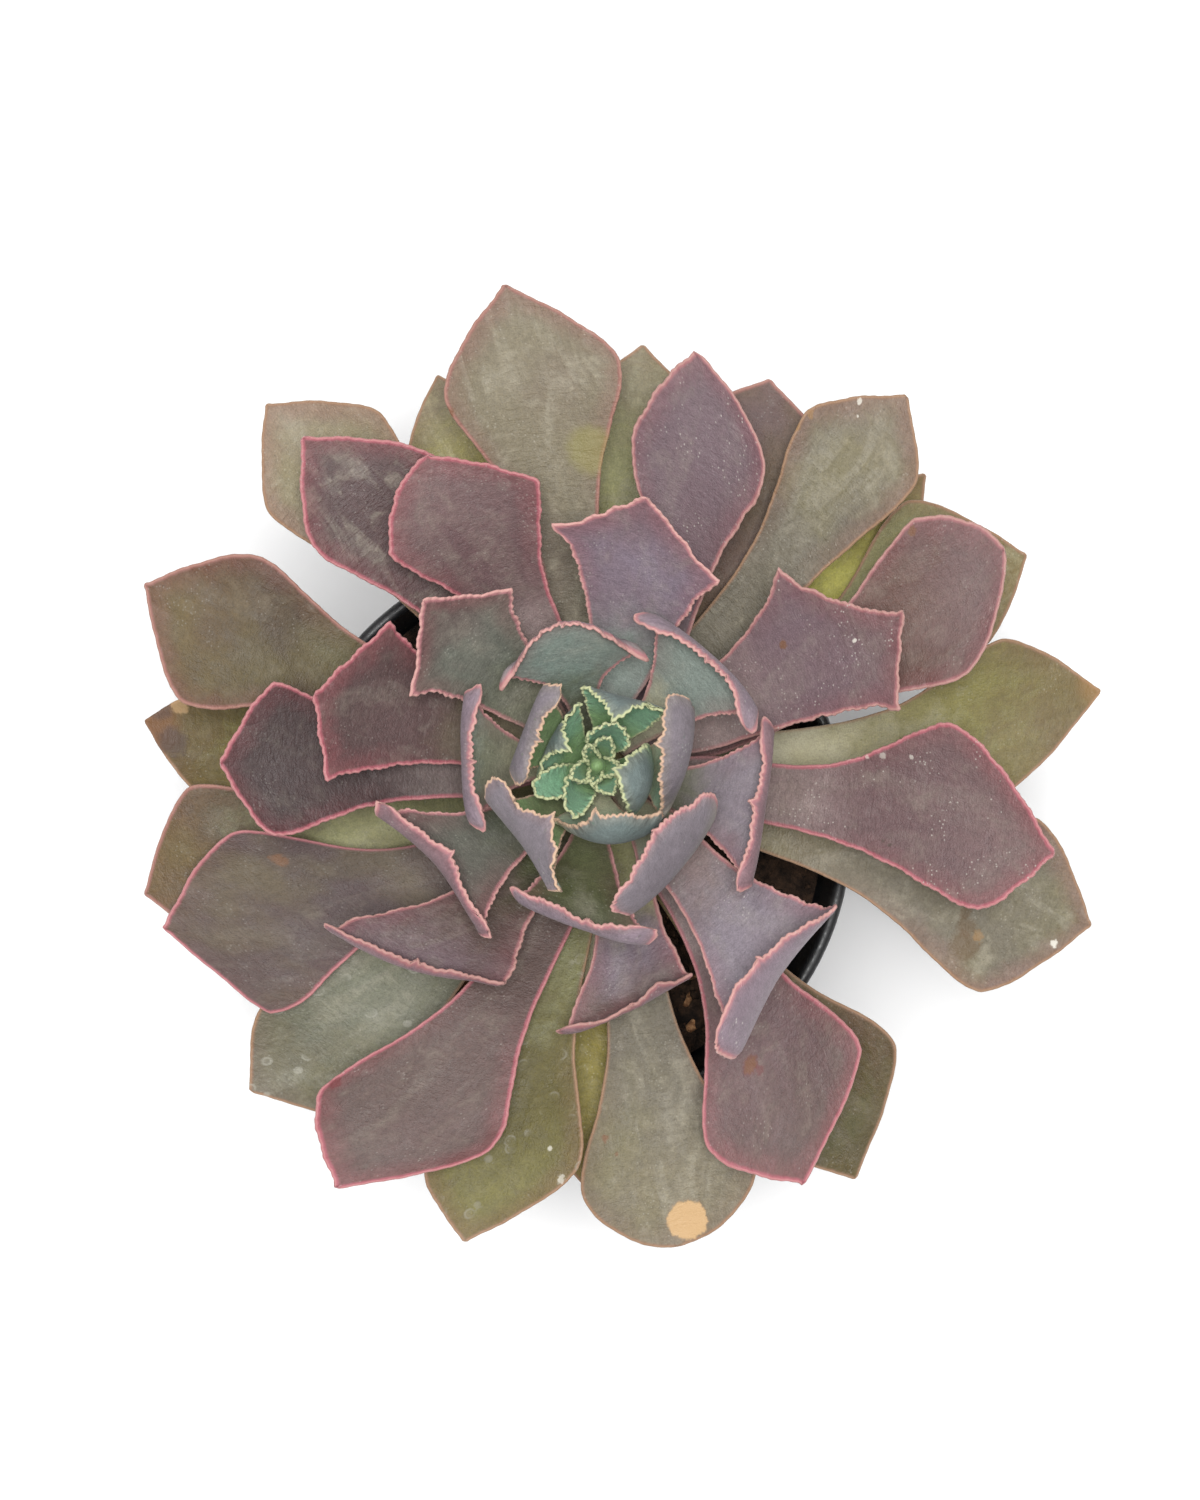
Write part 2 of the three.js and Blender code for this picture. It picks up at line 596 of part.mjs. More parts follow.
function heartGeometry() {
  let made = solid(
    ringGeometry(BUD_OUTLINE.map(([z, r]) => circle(PLANT_AXIS.x, PLANT_AXIS.y, r, z, BUD_SIDES))),
  );
  for (const row of HEART_LEAVES) {
    made = made.add(solid(leafGeometry(new LeafSurface(row), HEART_LEAF_RIBS)));
  }
  return geometryOf(made);
}

const plant = new THREE.Group();

function addPiece(name, geometry, colour, roughness) {
  const material = new THREE.MeshStandardMaterial({ color: colour, roughness, metalness: 0 });
  const mesh = new THREE.Mesh(geometry, material);
  mesh.name = name;
  plant.add(mesh);
}

addPiece("pot", potGeometry(), COLOURS.pot, 0.5);
addPiece("soil", soilGeometry(), COLOURS.soil, 0.95);
addPiece("stem", stemGeometry(), COLOURS.stem, 0.8);
for (const row of LEAVES) {
  const ribs = row.level < FIRST_WELL_SEEN_LEVEL ? OLD_LEAF_RIBS : LEAF_RIBS;
  let colour = COLOURS.leaf;
  if (row.level < FIRST_WELL_SEEN_LEVEL) colour = COLOURS.oldLeaf;
  if (row.level > 33) colour = COLOURS.youngLeaf;
  const name = "leaf_" + String(row.level).padStart(2, "0");
  addPiece(name, leafGeometry(new LeafSurface(row), ribs), colour, 0.55);
}
addPiece("heart", heartGeometry(), COLOURS.heart, 0.55);

export default plant;
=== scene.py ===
"""Dresses the potted pink frills echeveria: fine leaves with frilled margins, a heart of small
crinkled leaves, a moulded pot, potting soil and the stem, on a pale floor in soft light."""

import math

import bpy
import numpy as np
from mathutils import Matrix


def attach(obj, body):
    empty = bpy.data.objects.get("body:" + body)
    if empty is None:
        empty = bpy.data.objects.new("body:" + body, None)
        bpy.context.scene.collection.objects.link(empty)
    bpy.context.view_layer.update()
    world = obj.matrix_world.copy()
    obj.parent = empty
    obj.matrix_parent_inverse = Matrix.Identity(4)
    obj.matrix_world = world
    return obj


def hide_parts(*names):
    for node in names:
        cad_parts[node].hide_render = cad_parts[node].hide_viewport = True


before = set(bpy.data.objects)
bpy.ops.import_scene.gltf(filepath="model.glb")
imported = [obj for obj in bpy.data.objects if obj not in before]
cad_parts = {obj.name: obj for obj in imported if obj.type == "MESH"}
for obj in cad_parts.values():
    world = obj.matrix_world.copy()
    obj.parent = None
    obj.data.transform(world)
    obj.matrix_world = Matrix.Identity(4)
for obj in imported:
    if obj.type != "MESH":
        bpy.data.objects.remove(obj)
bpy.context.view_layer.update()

MM = 0.001

# Where the camera stood and how far its picture is magnified, in pixels at one unit's distance.
CAMERA_PLACE = (6.25, 15.35, 900)
FOCAL_PIXELS = 4276.5
PICTURE_HEIGHT = 1500

# The plant, in millimetres, with the same dimensions as the solid leaves that it stands for.
# Each pair of numbers is (level, value), and a leaf's level is its place in age, 1 the oldest.
PLANT_AXIS = (5.7, 12.6)
ATTACH_HEIGHT = ((0, 90), (30, 109.5), (41, 118.9), (42, 121), (53, 128.2))
ATTACH_RADIUS = ((1, 6.7), (30, 5.7), (41, 4.3), (42, 1.8), (53, 0.8))
RISE_AT_BASE = ((1, 10), (10, 12), (20, 18), (28, 27), (34, 36), (39, 44), (45, 52))
RISE_AT_END = ((1, -12), (10, -6), (20, 4), (28, 17), (34, 34), (39, 50), (45, 66))
BASE_HALF_WIDTH = ((25, 2.3), (41, 1.6), (42, 1.3), (53, 0.9))
NECK_HALF_WIDTH = ((30, 5.2), (41, 3.8), (45, 3.6), (47, 2.2), (53, 1.6))
BODY_THICKNESS = ((25, 2.4), (41, 1.5), (42, 1.1), (53, 0.8))
FLARE_POWER = ((28, 3), (31, 2.2), (45, 2.2), (46, 1))
NECK_LENGTH = 20
MARGIN_THICKNESS = 0.75
CUP_DEPTH = 2
CURL_END = 165
LEAST_CURL_RADIUS = 2.5
LEAST_CURL = 0.05
CURLED_CUP_DEPTH = 1
CURLED_CORNER = 1.2
CURVE_STEPS = 80
RIB_CROWDING = 0.7
LAST_RIB = 0.9985
STRIP_CROWDING = 1.6
MARGIN_BULGE = 0.16

# How far apart the patterns of two leaves lie in the noise that colours them.
PATTERN_STEP = 37.0

# Leaves as they are seen from above: the level, the direction of the foot, then the direction
# and the distance from the plant's axis of the point, of the widest place on the left and of
# the widest place on the right, in degrees and millimetres.
LEAVES = (
    (1, 43, 41.5, 83, 46, 71, 33.5, 70),
    (2, 178, 174.5, 86, 184, 75, 170, 76),
    (3, 113, 112.3, 79.5, 122, 67, 104, 65.5),
    (4, 268, 268, 79, 276, 66, 260, 66),
    (5, 22, 26, 90, 40.5, 76, 17, 76),
    (6, 197, 196, 88.5, 207, 75, 183, 76),
    (7, 306, 302, 91.5, 317, 76, 293, 75),
    (8, 84, 83.7, 79, 94.5, 66, 73.5, 67),
    (9, 233, 223.3, 89, 234.5, 80, 215.5, 76),
    (10, 359, 8.3, 95, 17.3, 78.5, 355.5, 75),
    (11, 280, 279.5, 91, 291.3, 81, 268, 80),
    (12, 64, 65.9, 78.5, 76, 65, 53, 72),
    (13, 221, 200.7, 86, 217.3, 76, 190.5, 68),
    (14, 341, 342, 96, 353, 82, 329.3, 82),
    (15, 133, 132.5, 90.3, 142.5, 76, 121.5, 76),
    (16, 260, 254.5, 91, 267.5, 74, 247, 81),
    (17, 44, 50, 88.5, 59.5, 75, 41.3, 78),
    (18, 162, 158.2, 89.3, 171.5, 77, 148.3, 73),
    (19, 310, 296.3, 85.5, 313, 71, 286, 73),
    (20, 95, 100.9, 89.2, 112.5, 73, 86.8, 74.5),
    (21, 256, 238.4, 90.3, 254.5, 73, 229.7, 78),
    (22, 16, 27.9, 83.7, 37.7, 73, 14, 70),
    (23, 130, 131.9, 79.7, 142.5, 65, 118, 64),
    (24, 286, 278, 45.1, 293, 42.8, 264, 49.8),
    (25, 60, 76.5, 76.5, 83.8, 60, 60.3, 62),
    (26, 182, 179.7, 67.8, 192.3, 60, 165.7, 60.5),
    (27, 351, 349.1, 83, 6.5, 65, 339.3, 73),
    (28, 114, 118.7, 63.3, 134, 53.5, 102.7, 52.5),
    (29, 242, 227.8, 49.6, 244.8, 43.5, 212.3, 56.9),
    (30, 22, 26.8, 61, 45.5, 48, 11.8, 55),
    (31, 165, 166, 52, 181.5, 48.5, 147, 45.5),
    (32, 313, 310, 49.6, 328.3, 49.5, 296, 57.3),
    (33, 75, 79.5, 48.3, 97, 43.3, 58.7, 39.7),
    (34, 221, 212, 33.8, 235.6, 37, 193, 40.8),
    (35, 341, 346, 30.9, 10.5, 32.2, 322, 35.2),
    (36, 136, 136.5, 42, 156, 36, 118.3, 35.3),
    (37, 264, 267, 29.9, 284.5, 33.1, 240.5, 27.9),
    (38, 38, 43, 28.3, 67.5, 28.6, 19, 30.2),
    (39, 178, 178, 24.2, 202.5, 24.9, 152, 26.8),
    (40, 311, 310.6, 23, 336, 22.7, 284, 27),
    (41, 103, 104.2, 26.2, 134.3, 22.2, 73.4, 21.1),
)

# The last leaves of the heart grow from one bud.
HEART_LEAVES = (
    (42, 224, 226.5, 19.3, 248.8, 23.5, 197.7, 20.5),
    (43, 353, 10.4, 17.2, 29.2, 19.7, 323.8, 14.8),
    (44, 152, 154.7, 14.6, 181.2, 15.5, 125.2, 17.1),
    (45, 273, 270.4, 13.8, 311.9, 15.1, 232.4, 12.6),
    (46, 66, 68.5, 13.3, 97, 14.5, 40, 16.2),
    (47, 146, 149, 9.6, 189, 10.8, 111, 11.6),
    (48, 345, 345, 10.3, 20, 10, 308, 11),
    (50, 235, 243, 9.6, 262, 7, 208, 7.4),
    (51, 80, 66, 7.8, 105, 6.4, 38, 7.6),
    (52, 200, 202, 11.8, 222, 9.8, 183, 9.4),
)

# The smallest leaves around the growing point, inside the heart.
BUD_LEAVES = (
    (53, 293, 300, 5.6, 335, 4.6, 262, 4.6),
    (54, 70, 66, 5.2, 104, 4.3, 30, 4.3),
    (55, 208, 204, 4.8, 244, 4, 168, 4),
    (56, 345, 350, 4, 30, 3.4, 310, 3.4),
    (57, 122, 118, 3.6, 160, 3, 80, 3),
    (58, 260, 256, 3.2, 300, 2.7, 214, 2.7),
)
BUD_OUTLINE = ((119.7, 3.1), (122, 3.2), (126, 2.6), (130, 1.9), (133.5, 1.2), (135, 0.4))
BUD_SIDES = 40

# Leaves that differ from their neighbours: how late they widen, how blunt their end is, on the
# left and on the right, how straight their sides run to the corners, how wide their neck is,
# and how steeply they rise at the foot and at the end.
FLARES = {1: 1.5, 9: 1.6, 10: 4, 12: 1.2, 41: 4}
ROUNDS = {11: 1.1, 22: 1.4, 25: (1.8, 1.3), 28: (1.2, 2), 30: (2.7, 2), 50: 1.1, 51: 0.8, 52: 1}
CORNERS = {30: 1, 31: 0.5, 33: 0.8, 36: 0.8}
NECKS = {44: 5.4}
RISES = {46: (50, 62), 47: (54, 64), 48: (56, 72), 50: (56, 68), 51: (58, 74), 52: (46, 54)}
RISES |= {53: (64, 80), 54: (64, 80), 55: (66, 82), 56: (68, 84), 57: (70, 85), 58: (70, 85)}

# How far inside its outline the margin of a curled leaf is seen from above, at the left end,
# halfway, the middle, halfway and the right end.
CURLED_LEAVES = {
    24: (0.8, 2.6, 0.8, 0.5, 1.6),
    29: (0.8, 1.8, 1.5, 2.2, 1.6),
    32: (0.6, 3.6, 5, 7, 5.5),
    34: (1.6, 1.5, 3.2, 2.8, 2.4),
    35: (2.8, 1.7, 2.1, 2.2, 3.2),
    37: (3, 3.2, 1.9, 3.2, 2.8),
    38: (3.6, 1.8, 1.4, 1.8, 4),
    39: (3.4, 2.3, 1.9, 2.4, 3.4),
    40: (4.5, 7.2, 7.4, 6.5, 4.5),
    41: (2, 0.8, 0.8, 1, 2.4),
    42: (1.5, 5.5, 7, 4, 4.5),
    43: (5, 5.8, 5.5, 4.5, 1.5),
    44: (3.5, 3.2, 2.8, 3, 3.6),
    45: (3.5, 5.6, 5, 2, 0.8),
    46: (0.5, 2.2, 4.3, 0.4, 0.4),
    47: (0.4, 0.8, 3.4, 0.8, 0.4),
    48: (1.5, 5, 6.5, 5, 2),
}

# The frill along the margin by level: how far broad and fine waves go out and up, the length
# of half a wave, how far inwards they fade, and how far the leaf's point sticks out.
FRILL_OUT = ((5, 0.1), (20, 0.14), (26, 0.22), (33, 0.28), (45, 0.28), (50, 0.36), (53, 0.2))
FRILL_FINE = ((10, 0.03), (20, 0.06), (25, 0.11), (33, 0.18), (40, 0.22), (45, 0.26), (53, 0.2))
FRILL_UP = ((5, 0.15), (30, 0.2), (45, 0.25), (50, 0.5), (53, 0.3))
FRILL_BROAD_LENGTH = ((5, 7), (20, 5), (30, 3), (41, 2.2), (45, 1.8), (53, 1.3))
FRILL_FINE_LENGTH = ((5, 1.6), (20, 1.2), (30, 0.75), (41, 0.6), (53, 0.45))
FRILL_REACH = ((10, 1.2), (30, 0.8), (45, 0.6), (53, 0.5))
POINT_LENGTH = ((1, 0.5), (20, 0.6), (25, 1.1), (31, 1.1), (41, 1.2), (45, 1.8), (53, 0.9))
POINT_WIDTH = 0.7
FINE_UP_SHARE = 0.7
HORN_WIDTH = 0.9
OUTLINE_STEPS = 420
SMOOTHING_STEPS = 9

# How far the middle of a blade heaves.
SWAY = ((5, 0.5), (25, 0.4), (35, 0.25), (45, 0.12), (53, 0.05))

# How far the lobes and horns at the left and right end of a head stick out, and their size.
CORNER_LOBES = {24: (1, 2), 29: (1, 1.5), 32: (1, 2.2), 33: (2, 1), 34: (1.5, 1.8), 35: (2, 1.5)}
CORNER_LOBES |= {37: (2.2, 1.8), 38: (2.6, 2.4), 39: (2, 2), 40: (2.4, 2.2), 41: (2.2, 2.2)}
CORNER_LOBES |= {42: (1.6, 2.4), 43: (2.4, 1.6), 44: (2, 2), 45: (1.6, 1), 30: (1, 0.8)}
CORNER_LOBES |= {28: (0, 0.8), 31: (1, 1), 36: (1.5, 1), 46: (0.8, 1), 47: (0.8, 1)}
HORNS = {28: 0.5, 30: 1.3, 31: 0.7, 33: 1.5, 36: 1.3}
LOBE_LENGTH = 2.4
LEAST_LOBE_LENGTH = 1.8
LOBE_WIDTH = 3
LOBE_LIFT = 1.1


def between(table, at):
    """A value between the rows of a table of pairs."""
    return float(np.interp(at, [row[0] for row in table], [row[1] for row in table]))


def smoothstep(x):
    t = np.clip(x, 0, 1)
    return t * t * (3 - 2 * t)


def run_along(x, y):
    return np.concatenate([[0], np.cumsum(np.hypot(np.diff(x), np.diff(y)))])


class LeafSurface:
    """The upper face of one leaf. x runs along the midline and y across it, on the flat blade."""

    def __init__(self, level, base, *places):
        tip, left, right = places[:2], places[2:4], places[4:]
        self.level = level
        self.base = math.radians(base)
        self.radius = between(ATTACH_RADIUS, level)
        self.height = between(ATTACH_HEIGHT, level)
        rise = RISES.get(level, (between(RISE_AT_BASE, level), between(RISE_AT_END, level)))
        self.rise_start, self.rise_end = math.radians(rise[0]), math.radians(rise[1])
        self.sin_start, self.cos_start = math.sin(self.rise_start), math.cos(self.rise_start)
        self.sin_end, self.cos_end = math.sin(self.rise_end), math.cos(self.rise_end)
        self.curls = level in CURLED_LEAVES
        self.curl_radius = 0
        if self.curls:
            self.bands = [max(b - MARGIN_THICKNESS, LEAST_CURL) for b in CURLED_LEAVES[level]]
            reach = max(self.bands) / (1 - math.sin(math.radians(CURL_END)))
            self.curl_radius = max(reach, LEAST_CURL_RADIUS)

        tip_out, tip_side = self.seen_from_base(tip)
        arm_out = tip_out - self.radius - self.curl_radius * (1 - self.sin_end)
        turn = self.rise_end - self.rise_start
        self.arm = arm_out * turn / (self.sin_end - self.sin_start)
        self.bend = turn / self.arm
        self.sideways = tip_side / self.arm**2
        self.skew = self.bow = 0
        self.length = self.arm
        if self.curls:
            self.set_curl(tip_out, tip_side, left, right)
        else:
            self.left, self.right = self.on_blade(left), self.on_blade(right)
            self.cup_radius = max(self.left[1], -self.right[1]) ** 2 / (2 * CUP_DEPTH)

        self.base_half_width = between(BASE_HALF_WIDTH, level)
        self.neck_half_width = NECKS.get(level, between(NECK_HALF_WIDTH, level))
        self.flare = FLARES.get(level, between(FLARE_POWER, level))
        self.thickness = between(BODY_THICKNESS, level)
        self.end_powers = np.atleast_1d(ROUNDS.get(level, 0.3 if self.curls else 2))
        self.corner = CORNERS.get(level, 0)

    def set_curl(self, tip_out, tip_side, left, right):
        """The line where a leaf turns back, through three points of its outline."""
        left_out, left_side = self.seen_from_base(left)
        right_out, right_side = self.seen_from_base(right)
        left_y, right_y = left_side - tip_side, right_side - tip_side
        self.cup_radius = max(left_y, -right_y) ** 2 / (2 * CURLED_CUP_DEPTH)
        left_slope = (left_out - tip_out) / left_y
        right_slope = (right_out - tip_out) / right_y
        bow = (left_slope - right_slope) / (left_y - right_y)
        self.skew = (left_slope - bow * left_y) / self.cos_end
        self.bow = (bow + 0.5 / self.cup_radius) / self.cos_end
        self.band_places = (right_y, right_y / 2, 0, left_y / 2, left_y)
        self.length = float(self.curled_margin(0))
        self.left = (float(self.curled_margin(left_y)) - CURLED_CORNER, left_y)
        self.right = (float(self.curled_margin(right_y)) - CURLED_CORNER, right_y)

    def seen_from_base(self, place):
        """(direction, distance) about the axis, as (out, sideways) from the leaf's foot."""
        angle = math.radians(place[0]) - self.base
        inside = MARGIN_THICKNESS if self.curls else 0
        return place[1] * math.cos(angle) - inside, place[1] * math.sin(angle)

    def shift(self, y):
        """How much further out the curl starts at y than on the midline."""
        return self.skew * y + self.bow * y * y

    def fold(self, y):
        """Where a curled end stands upright at y, so that it looks like a fold from above."""
        return self.arm + self.shift(y) + self.curl_radius * (math.pi / 2 - self.rise_end)

    def curled_margin(self, y):
        """Where the margin of a curled end is at y."""
        band = np.interp(y, self.band_places, self.bands[::-1])
        turned = math.pi - np.arcsin(1 - band / self.curl_radius)
        return self.arm + self.shift(y) + self.curl_radius * (turned - self.rise_end)

    def midline(self, x):
        """Distance out, height and slope of the midline at x."""
        slope = self.rise_start + self.bend * np.minimum(x, self.arm)
        out = self.radius + (np.sin(slope) - self.sin_start) / self.bend
        up = self.height + (self.cos_start - np.cos(slope)) / self.bend
        if self.curls:
            turned = self.rise_end + np.maximum(x - self.arm, 0) / self.curl_radius
            out = out + self.curl_radius * (np.sin(turned) - self.sin_end)
            up = up + self.curl_radius * (self.cos_end - np.cos(turned))
            slope = np.where(x > self.arm, turned, slope)
        return out, up, slope

    def on_blade(self, place):
        """The place on the flat blade that is seen from above at a point."""
        out, sideways = self.seen_from_base(place)
        x = np.linspace(0, self.arm * 1.1, 800)
        found = float(np.interp(out, self.midline(x)[0], x))
        return found, sideways - self.sideways * found**2

    def at(self, x, y, shift):
        """Points of the face at x and y, where the curl starts later by shift, and its normals."""
        out, up, slope = self.midline(np.maximum(x - shift, 0))
        lean = y / self.cup_radius
        lift = self.cup_radius * (1 - np.cos(lean))
        out = out + shift * self.cos_end - lift * np.sin(slope)
        up = up + shift * self.sin_end + lift * np.cos(slope)
        bent = np.minimum(x, self.arm) if self.curls else x
        side = self.cup_radius * np.sin(lean) + self.sideways * bent**2
        tilt = (self.skew + 2 * self.bow * y) * np.sin(slope - self.rise_end) - np.sin(lean)
        normal = np.stack([-np.sin(slope) * np.cos(lean), tilt, np.cos(slope) * np.cos(lean)], -1)
        normal /= np.linalg.norm(normal, axis=-1, keepdims=True)
        c, s = math.cos(self.base), math.sin(self.base)
        turn = np.array([[c, s, 0], [-s, c, 0], [0, 0, 1]])
        points = np.stack([out, side, up], -1) @ turn + np.array([*PLANT_AXIS, 0])
        return points, normal @ turn

    def margin(self, side, shares):
        """The margin on one side as points at shares of its run, from foot to tip."""
        shoulder, width = self.left if side > 0 else (self.right[0], -self.right[1])
        t = np.linspace(0, 1, CURVE_STEPS + 1)
        soft = np.sin(math.pi / 2 * t**self.flare) ** 2
        neck = smoothstep(shoulder * t / NECK_LENGTH)
        if self.curls:
            widest = min(self.fold(side * width) / shoulder, 1)
            soft = np.sin(math.pi / 2 * np.minimum(t / widest, 1) ** self.flare) ** 2
        grown = (1 - self.corner) * soft + self.corner * t**self.flare
        narrow = self.base_half_width + (self.neck_half_width - self.base_half_width) * neck
        angle = np.linspace(0, math.pi / 2, 2 * CURVE_STEPS + 1)[1:]
        end_power = self.end_powers[0 if side > 0 else -1]
        head_y = width * np.maximum(np.cos(angle), 0) ** end_power
        end = self.curled_margin(side * head_y) if self.curls else self.length
        power = 1 if self.curls else 1.4 + 0.6 * self.corner
        x = np.concatenate([shoulder * t, shoulder + (end - shoulder) * np.sin(angle) ** power])
        y = np.concatenate([narrow + np.maximum(width - narrow, 0) * grown, head_y])
        run = run_along(x, y)
        return np.interp(run[-1] * shares, run, x), side * np.interp(run[-1] * shares, run, y)

    def thickness_at(self, along, across):
        foot = 0.66 + 0.34 * smoothstep(along / 0.25)
        end = 1 - 0.6 * smoothstep((along - 0.45) / 0.55)
        middle = np.maximum(self.thickness * foot * end, MARGIN_THICKNESS)
        return middle + (MARGIN_THICKNESS - middle) * across**2


def uneven_waves(run, step, draw):
    """Waves along a margin, one about every two steps, each of its own height, from -1 to 1."""
    count = int(run[-1] / step * 1.4) + 6
    places = np.cumsum(draw.uniform(0.7, 1.3, count)) * step - 2 * step
    heights = draw.uniform(0.3, 1, count) * np.where(np.arange(count) % 2, 1, -1)
    at = np.interp(run, places, np.arange(count))
    first = np.minimum(at.astype(int), count - 2)
    share = smoothstep(at - first)
    return heights[first] * (1 - share) + heights[first + 1] * share


class Outline:
    """A leaf's whole margin on the flat blade, and how far its frill leaves the plain shape."""

    def __init__(self, surface, draw):
        level = surface.level
        shares = np.linspace(0, 1, OUTLINE_STEPS)
        left, right = surface.margin(1, shares), surface.margin(-1, shares[::-1])
        self.x = np.concatenate([left[0], right[0][1:]])
        self.y = np.concatenate([left[1], right[1][1:]])
        share = np.concatenate([shares, shares[::-1][1:]])
        run = run_along(self.x, self.y)
        kernel = np.hanning(2 * SMOOTHING_STEPS + 1)
        kernel /= kernel.sum()

        def smooth(values):
            padded = np.pad(values, SMOOTHING_STEPS, mode="edge")
            return np.convolve(padded, kernel, mode="valid")

        dx, dy = np.gradient(smooth(self.x)), np.gradient(smooth(self.y))
        size = np.hypot(dx, dy) + 1e-9
        self.out_x, self.out_y = -dy / size, dx / size
        weight = 0.25 + 0.75 * smoothstep((share - 0.3) / 0.35)
        weight *= smoothstep(share / 0.25)
        length = between(FRILL_BROAD_LENGTH, level)
        broad = uneven_waves(run, length, draw)
        fine = uneven_waves(run, between(FRILL_FINE_LENGTH, level), draw)
        tall = uneven_waves(run, length * 0.8, draw)
        crisp = between(FRILL_FINE, level) * np.sign(fine) * np.abs(fine) ** 0.7
        self.outward = weight * (between(FRILL_OUT, level) * broad + crisp)
        self.upward = weight * (between(FRILL_UP, level) * tall + FINE_UP_SHARE * crisp)
        from_tip = np.abs(run - run[OUTLINE_STEPS - 1])
        self.sharp_x = between(POINT_LENGTH, level) * np.exp(-from_tip / POINT_WIDTH)
        self.sharp_y = np.zeros_like(run)
        self.lobes = []
        self.lobe_lift = LOBE_LIFT if surface.curls else 0
        lobes = CORNER_LOBES.get(level, (0, 0))
        for (x, y), side, out in zip((surface.left, surface.right), (1, -1), lobes):
            corner = np.hypot(self.x - x, self.y - y).argmin()
            horn = HORNS.get(level, 0) * np.exp(-np.abs(run - run[corner]) / HORN_WIDTH)
            self.sharp_x = self.sharp_x + 0.5 * horn
            self.sharp_y = self.sharp_y + 0.85 * side * horn
            length = LOBE_LENGTH
            if surface.curls:
                end = x + CURLED_CORNER
                length = max((end - surface.fold(y)) / 2, LEAST_LOBE_LENGTH)
                x = end - length
            self.lobes.append((x, y, length, side * out))

    def with_lobes(self, x, y):
        """Moves places outwards around both ends of the head, so that they bulge."""
        moved_x, moved_y = x, y
        for lobe_x, lobe_y, length, out in self.lobes:
            away = ((x - lobe_x) / length) ** 2 + ((y - lobe_y) / LOBE_WIDTH) ** 2
            moved_x = moved_x + self.lobe_lift * abs(out) * np.exp(-away)
            moved_y = moved_y + out * np.exp(-away)
        return moved_x, moved_y

    def nearest(self, x, y):
        """For each (x, y), the distance to the margin and the index of its nearest point."""
        flat_x, flat_y = x.reshape(-1, 1), y.reshape(-1, 1)
        squares = (flat_x - self.x) ** 2 + (flat_y - self.y) ** 2
        index = squares.argmin(1)
        distance = np.sqrt(squares[np.arange(len(index)), index])
        return distance.reshape(x.shape), index.reshape(x.shape)


class Shape:
    """Points, faces and values at the points, joined into one mesh, in millimetres."""

    def __init__(self):
        self.points = []
        self.faces = []
        self.values = {}
        self.count = 0

    def add(self, points, faces, **values):
        self.points.append(points)
        self.faces += [[i + self.count for i in face] for face in faces]
        for name, value in values.items():
            self.values.setdefault(name, []).append(value)
        self.count += len(points)

    def build(self, name, material):
        mesh = bpy.data.meshes.new(name)
        mesh.from_pydata((np.concatenate(self.points) * MM).tolist(), [], self.faces)
        for key, parts in self.values.items():
            data = np.concatenate(parts)
            kind, field = ("FLOAT", "value") if data.ndim == 1 else ("FLOAT_VECTOR", "vector")
            mesh.attributes.new(key, kind, "POINT").data.foreach_set(field, data.ravel())
        mesh.materials.append(material)
        mesh.shade_smooth()
        mesh.update()
        return add_object(name, mesh)


def add_object(name, data):
    made = bpy.data.objects.new(name, data)
    bpy.context.collection.objects.link(made)
    return made


def grid_faces(index):
    """Faces between the neighbours in a grid of point numbers."""
    corners = [index[:-1, :-1], index[:-1, 1:], index[1:, 1:], index[1:, :-1]]
    return np.stack(corners, -1).reshape(-1, 4).tolist()


def ring_faces(index):
    """Faces between rings of point numbers, one ring a row."""
    return grid_faces(np.hstack([index, index[:, :1]]))


def around(count):
    return np.arange(count) * 2 * math.pi / count


def circle(centre, radius, height, count):
    x = centre[0] + radius * np.cos(around(count))
    y = centre[1] + radius * np.sin(around(count))
    return np.stack([x, y, np.full(count, height)], -1)


def tube(rings):
    """Points and faces of a tube through rings of points, with flat ends."""
    points = np.concatenate(rings)
    index = np.arange(len(points)).reshape(len(rings), -1)
    return points, ring_faces(index) + [index[0, ::-1].tolist(), index[-1].tolist()]


def ball(rings, low, high):
    """Points and faces of a closed form: rings between its lowest and its highest point."""
    points = np.concatenate([[[0, 0, low]], *rings, [[0, 0, high]]])
    index = np.arange(1, len(points) - 1).reshape(len(rings), -1)
    faces = ring_faces(index)
    count = index.shape[1]
    for i in range(count):
        j = (i + 1) % count
        faces.append([0, index[0, j], index[0, i]])
        faces.append([index[-1, i], index[-1, j], len(points) - 1])
    return points, faces


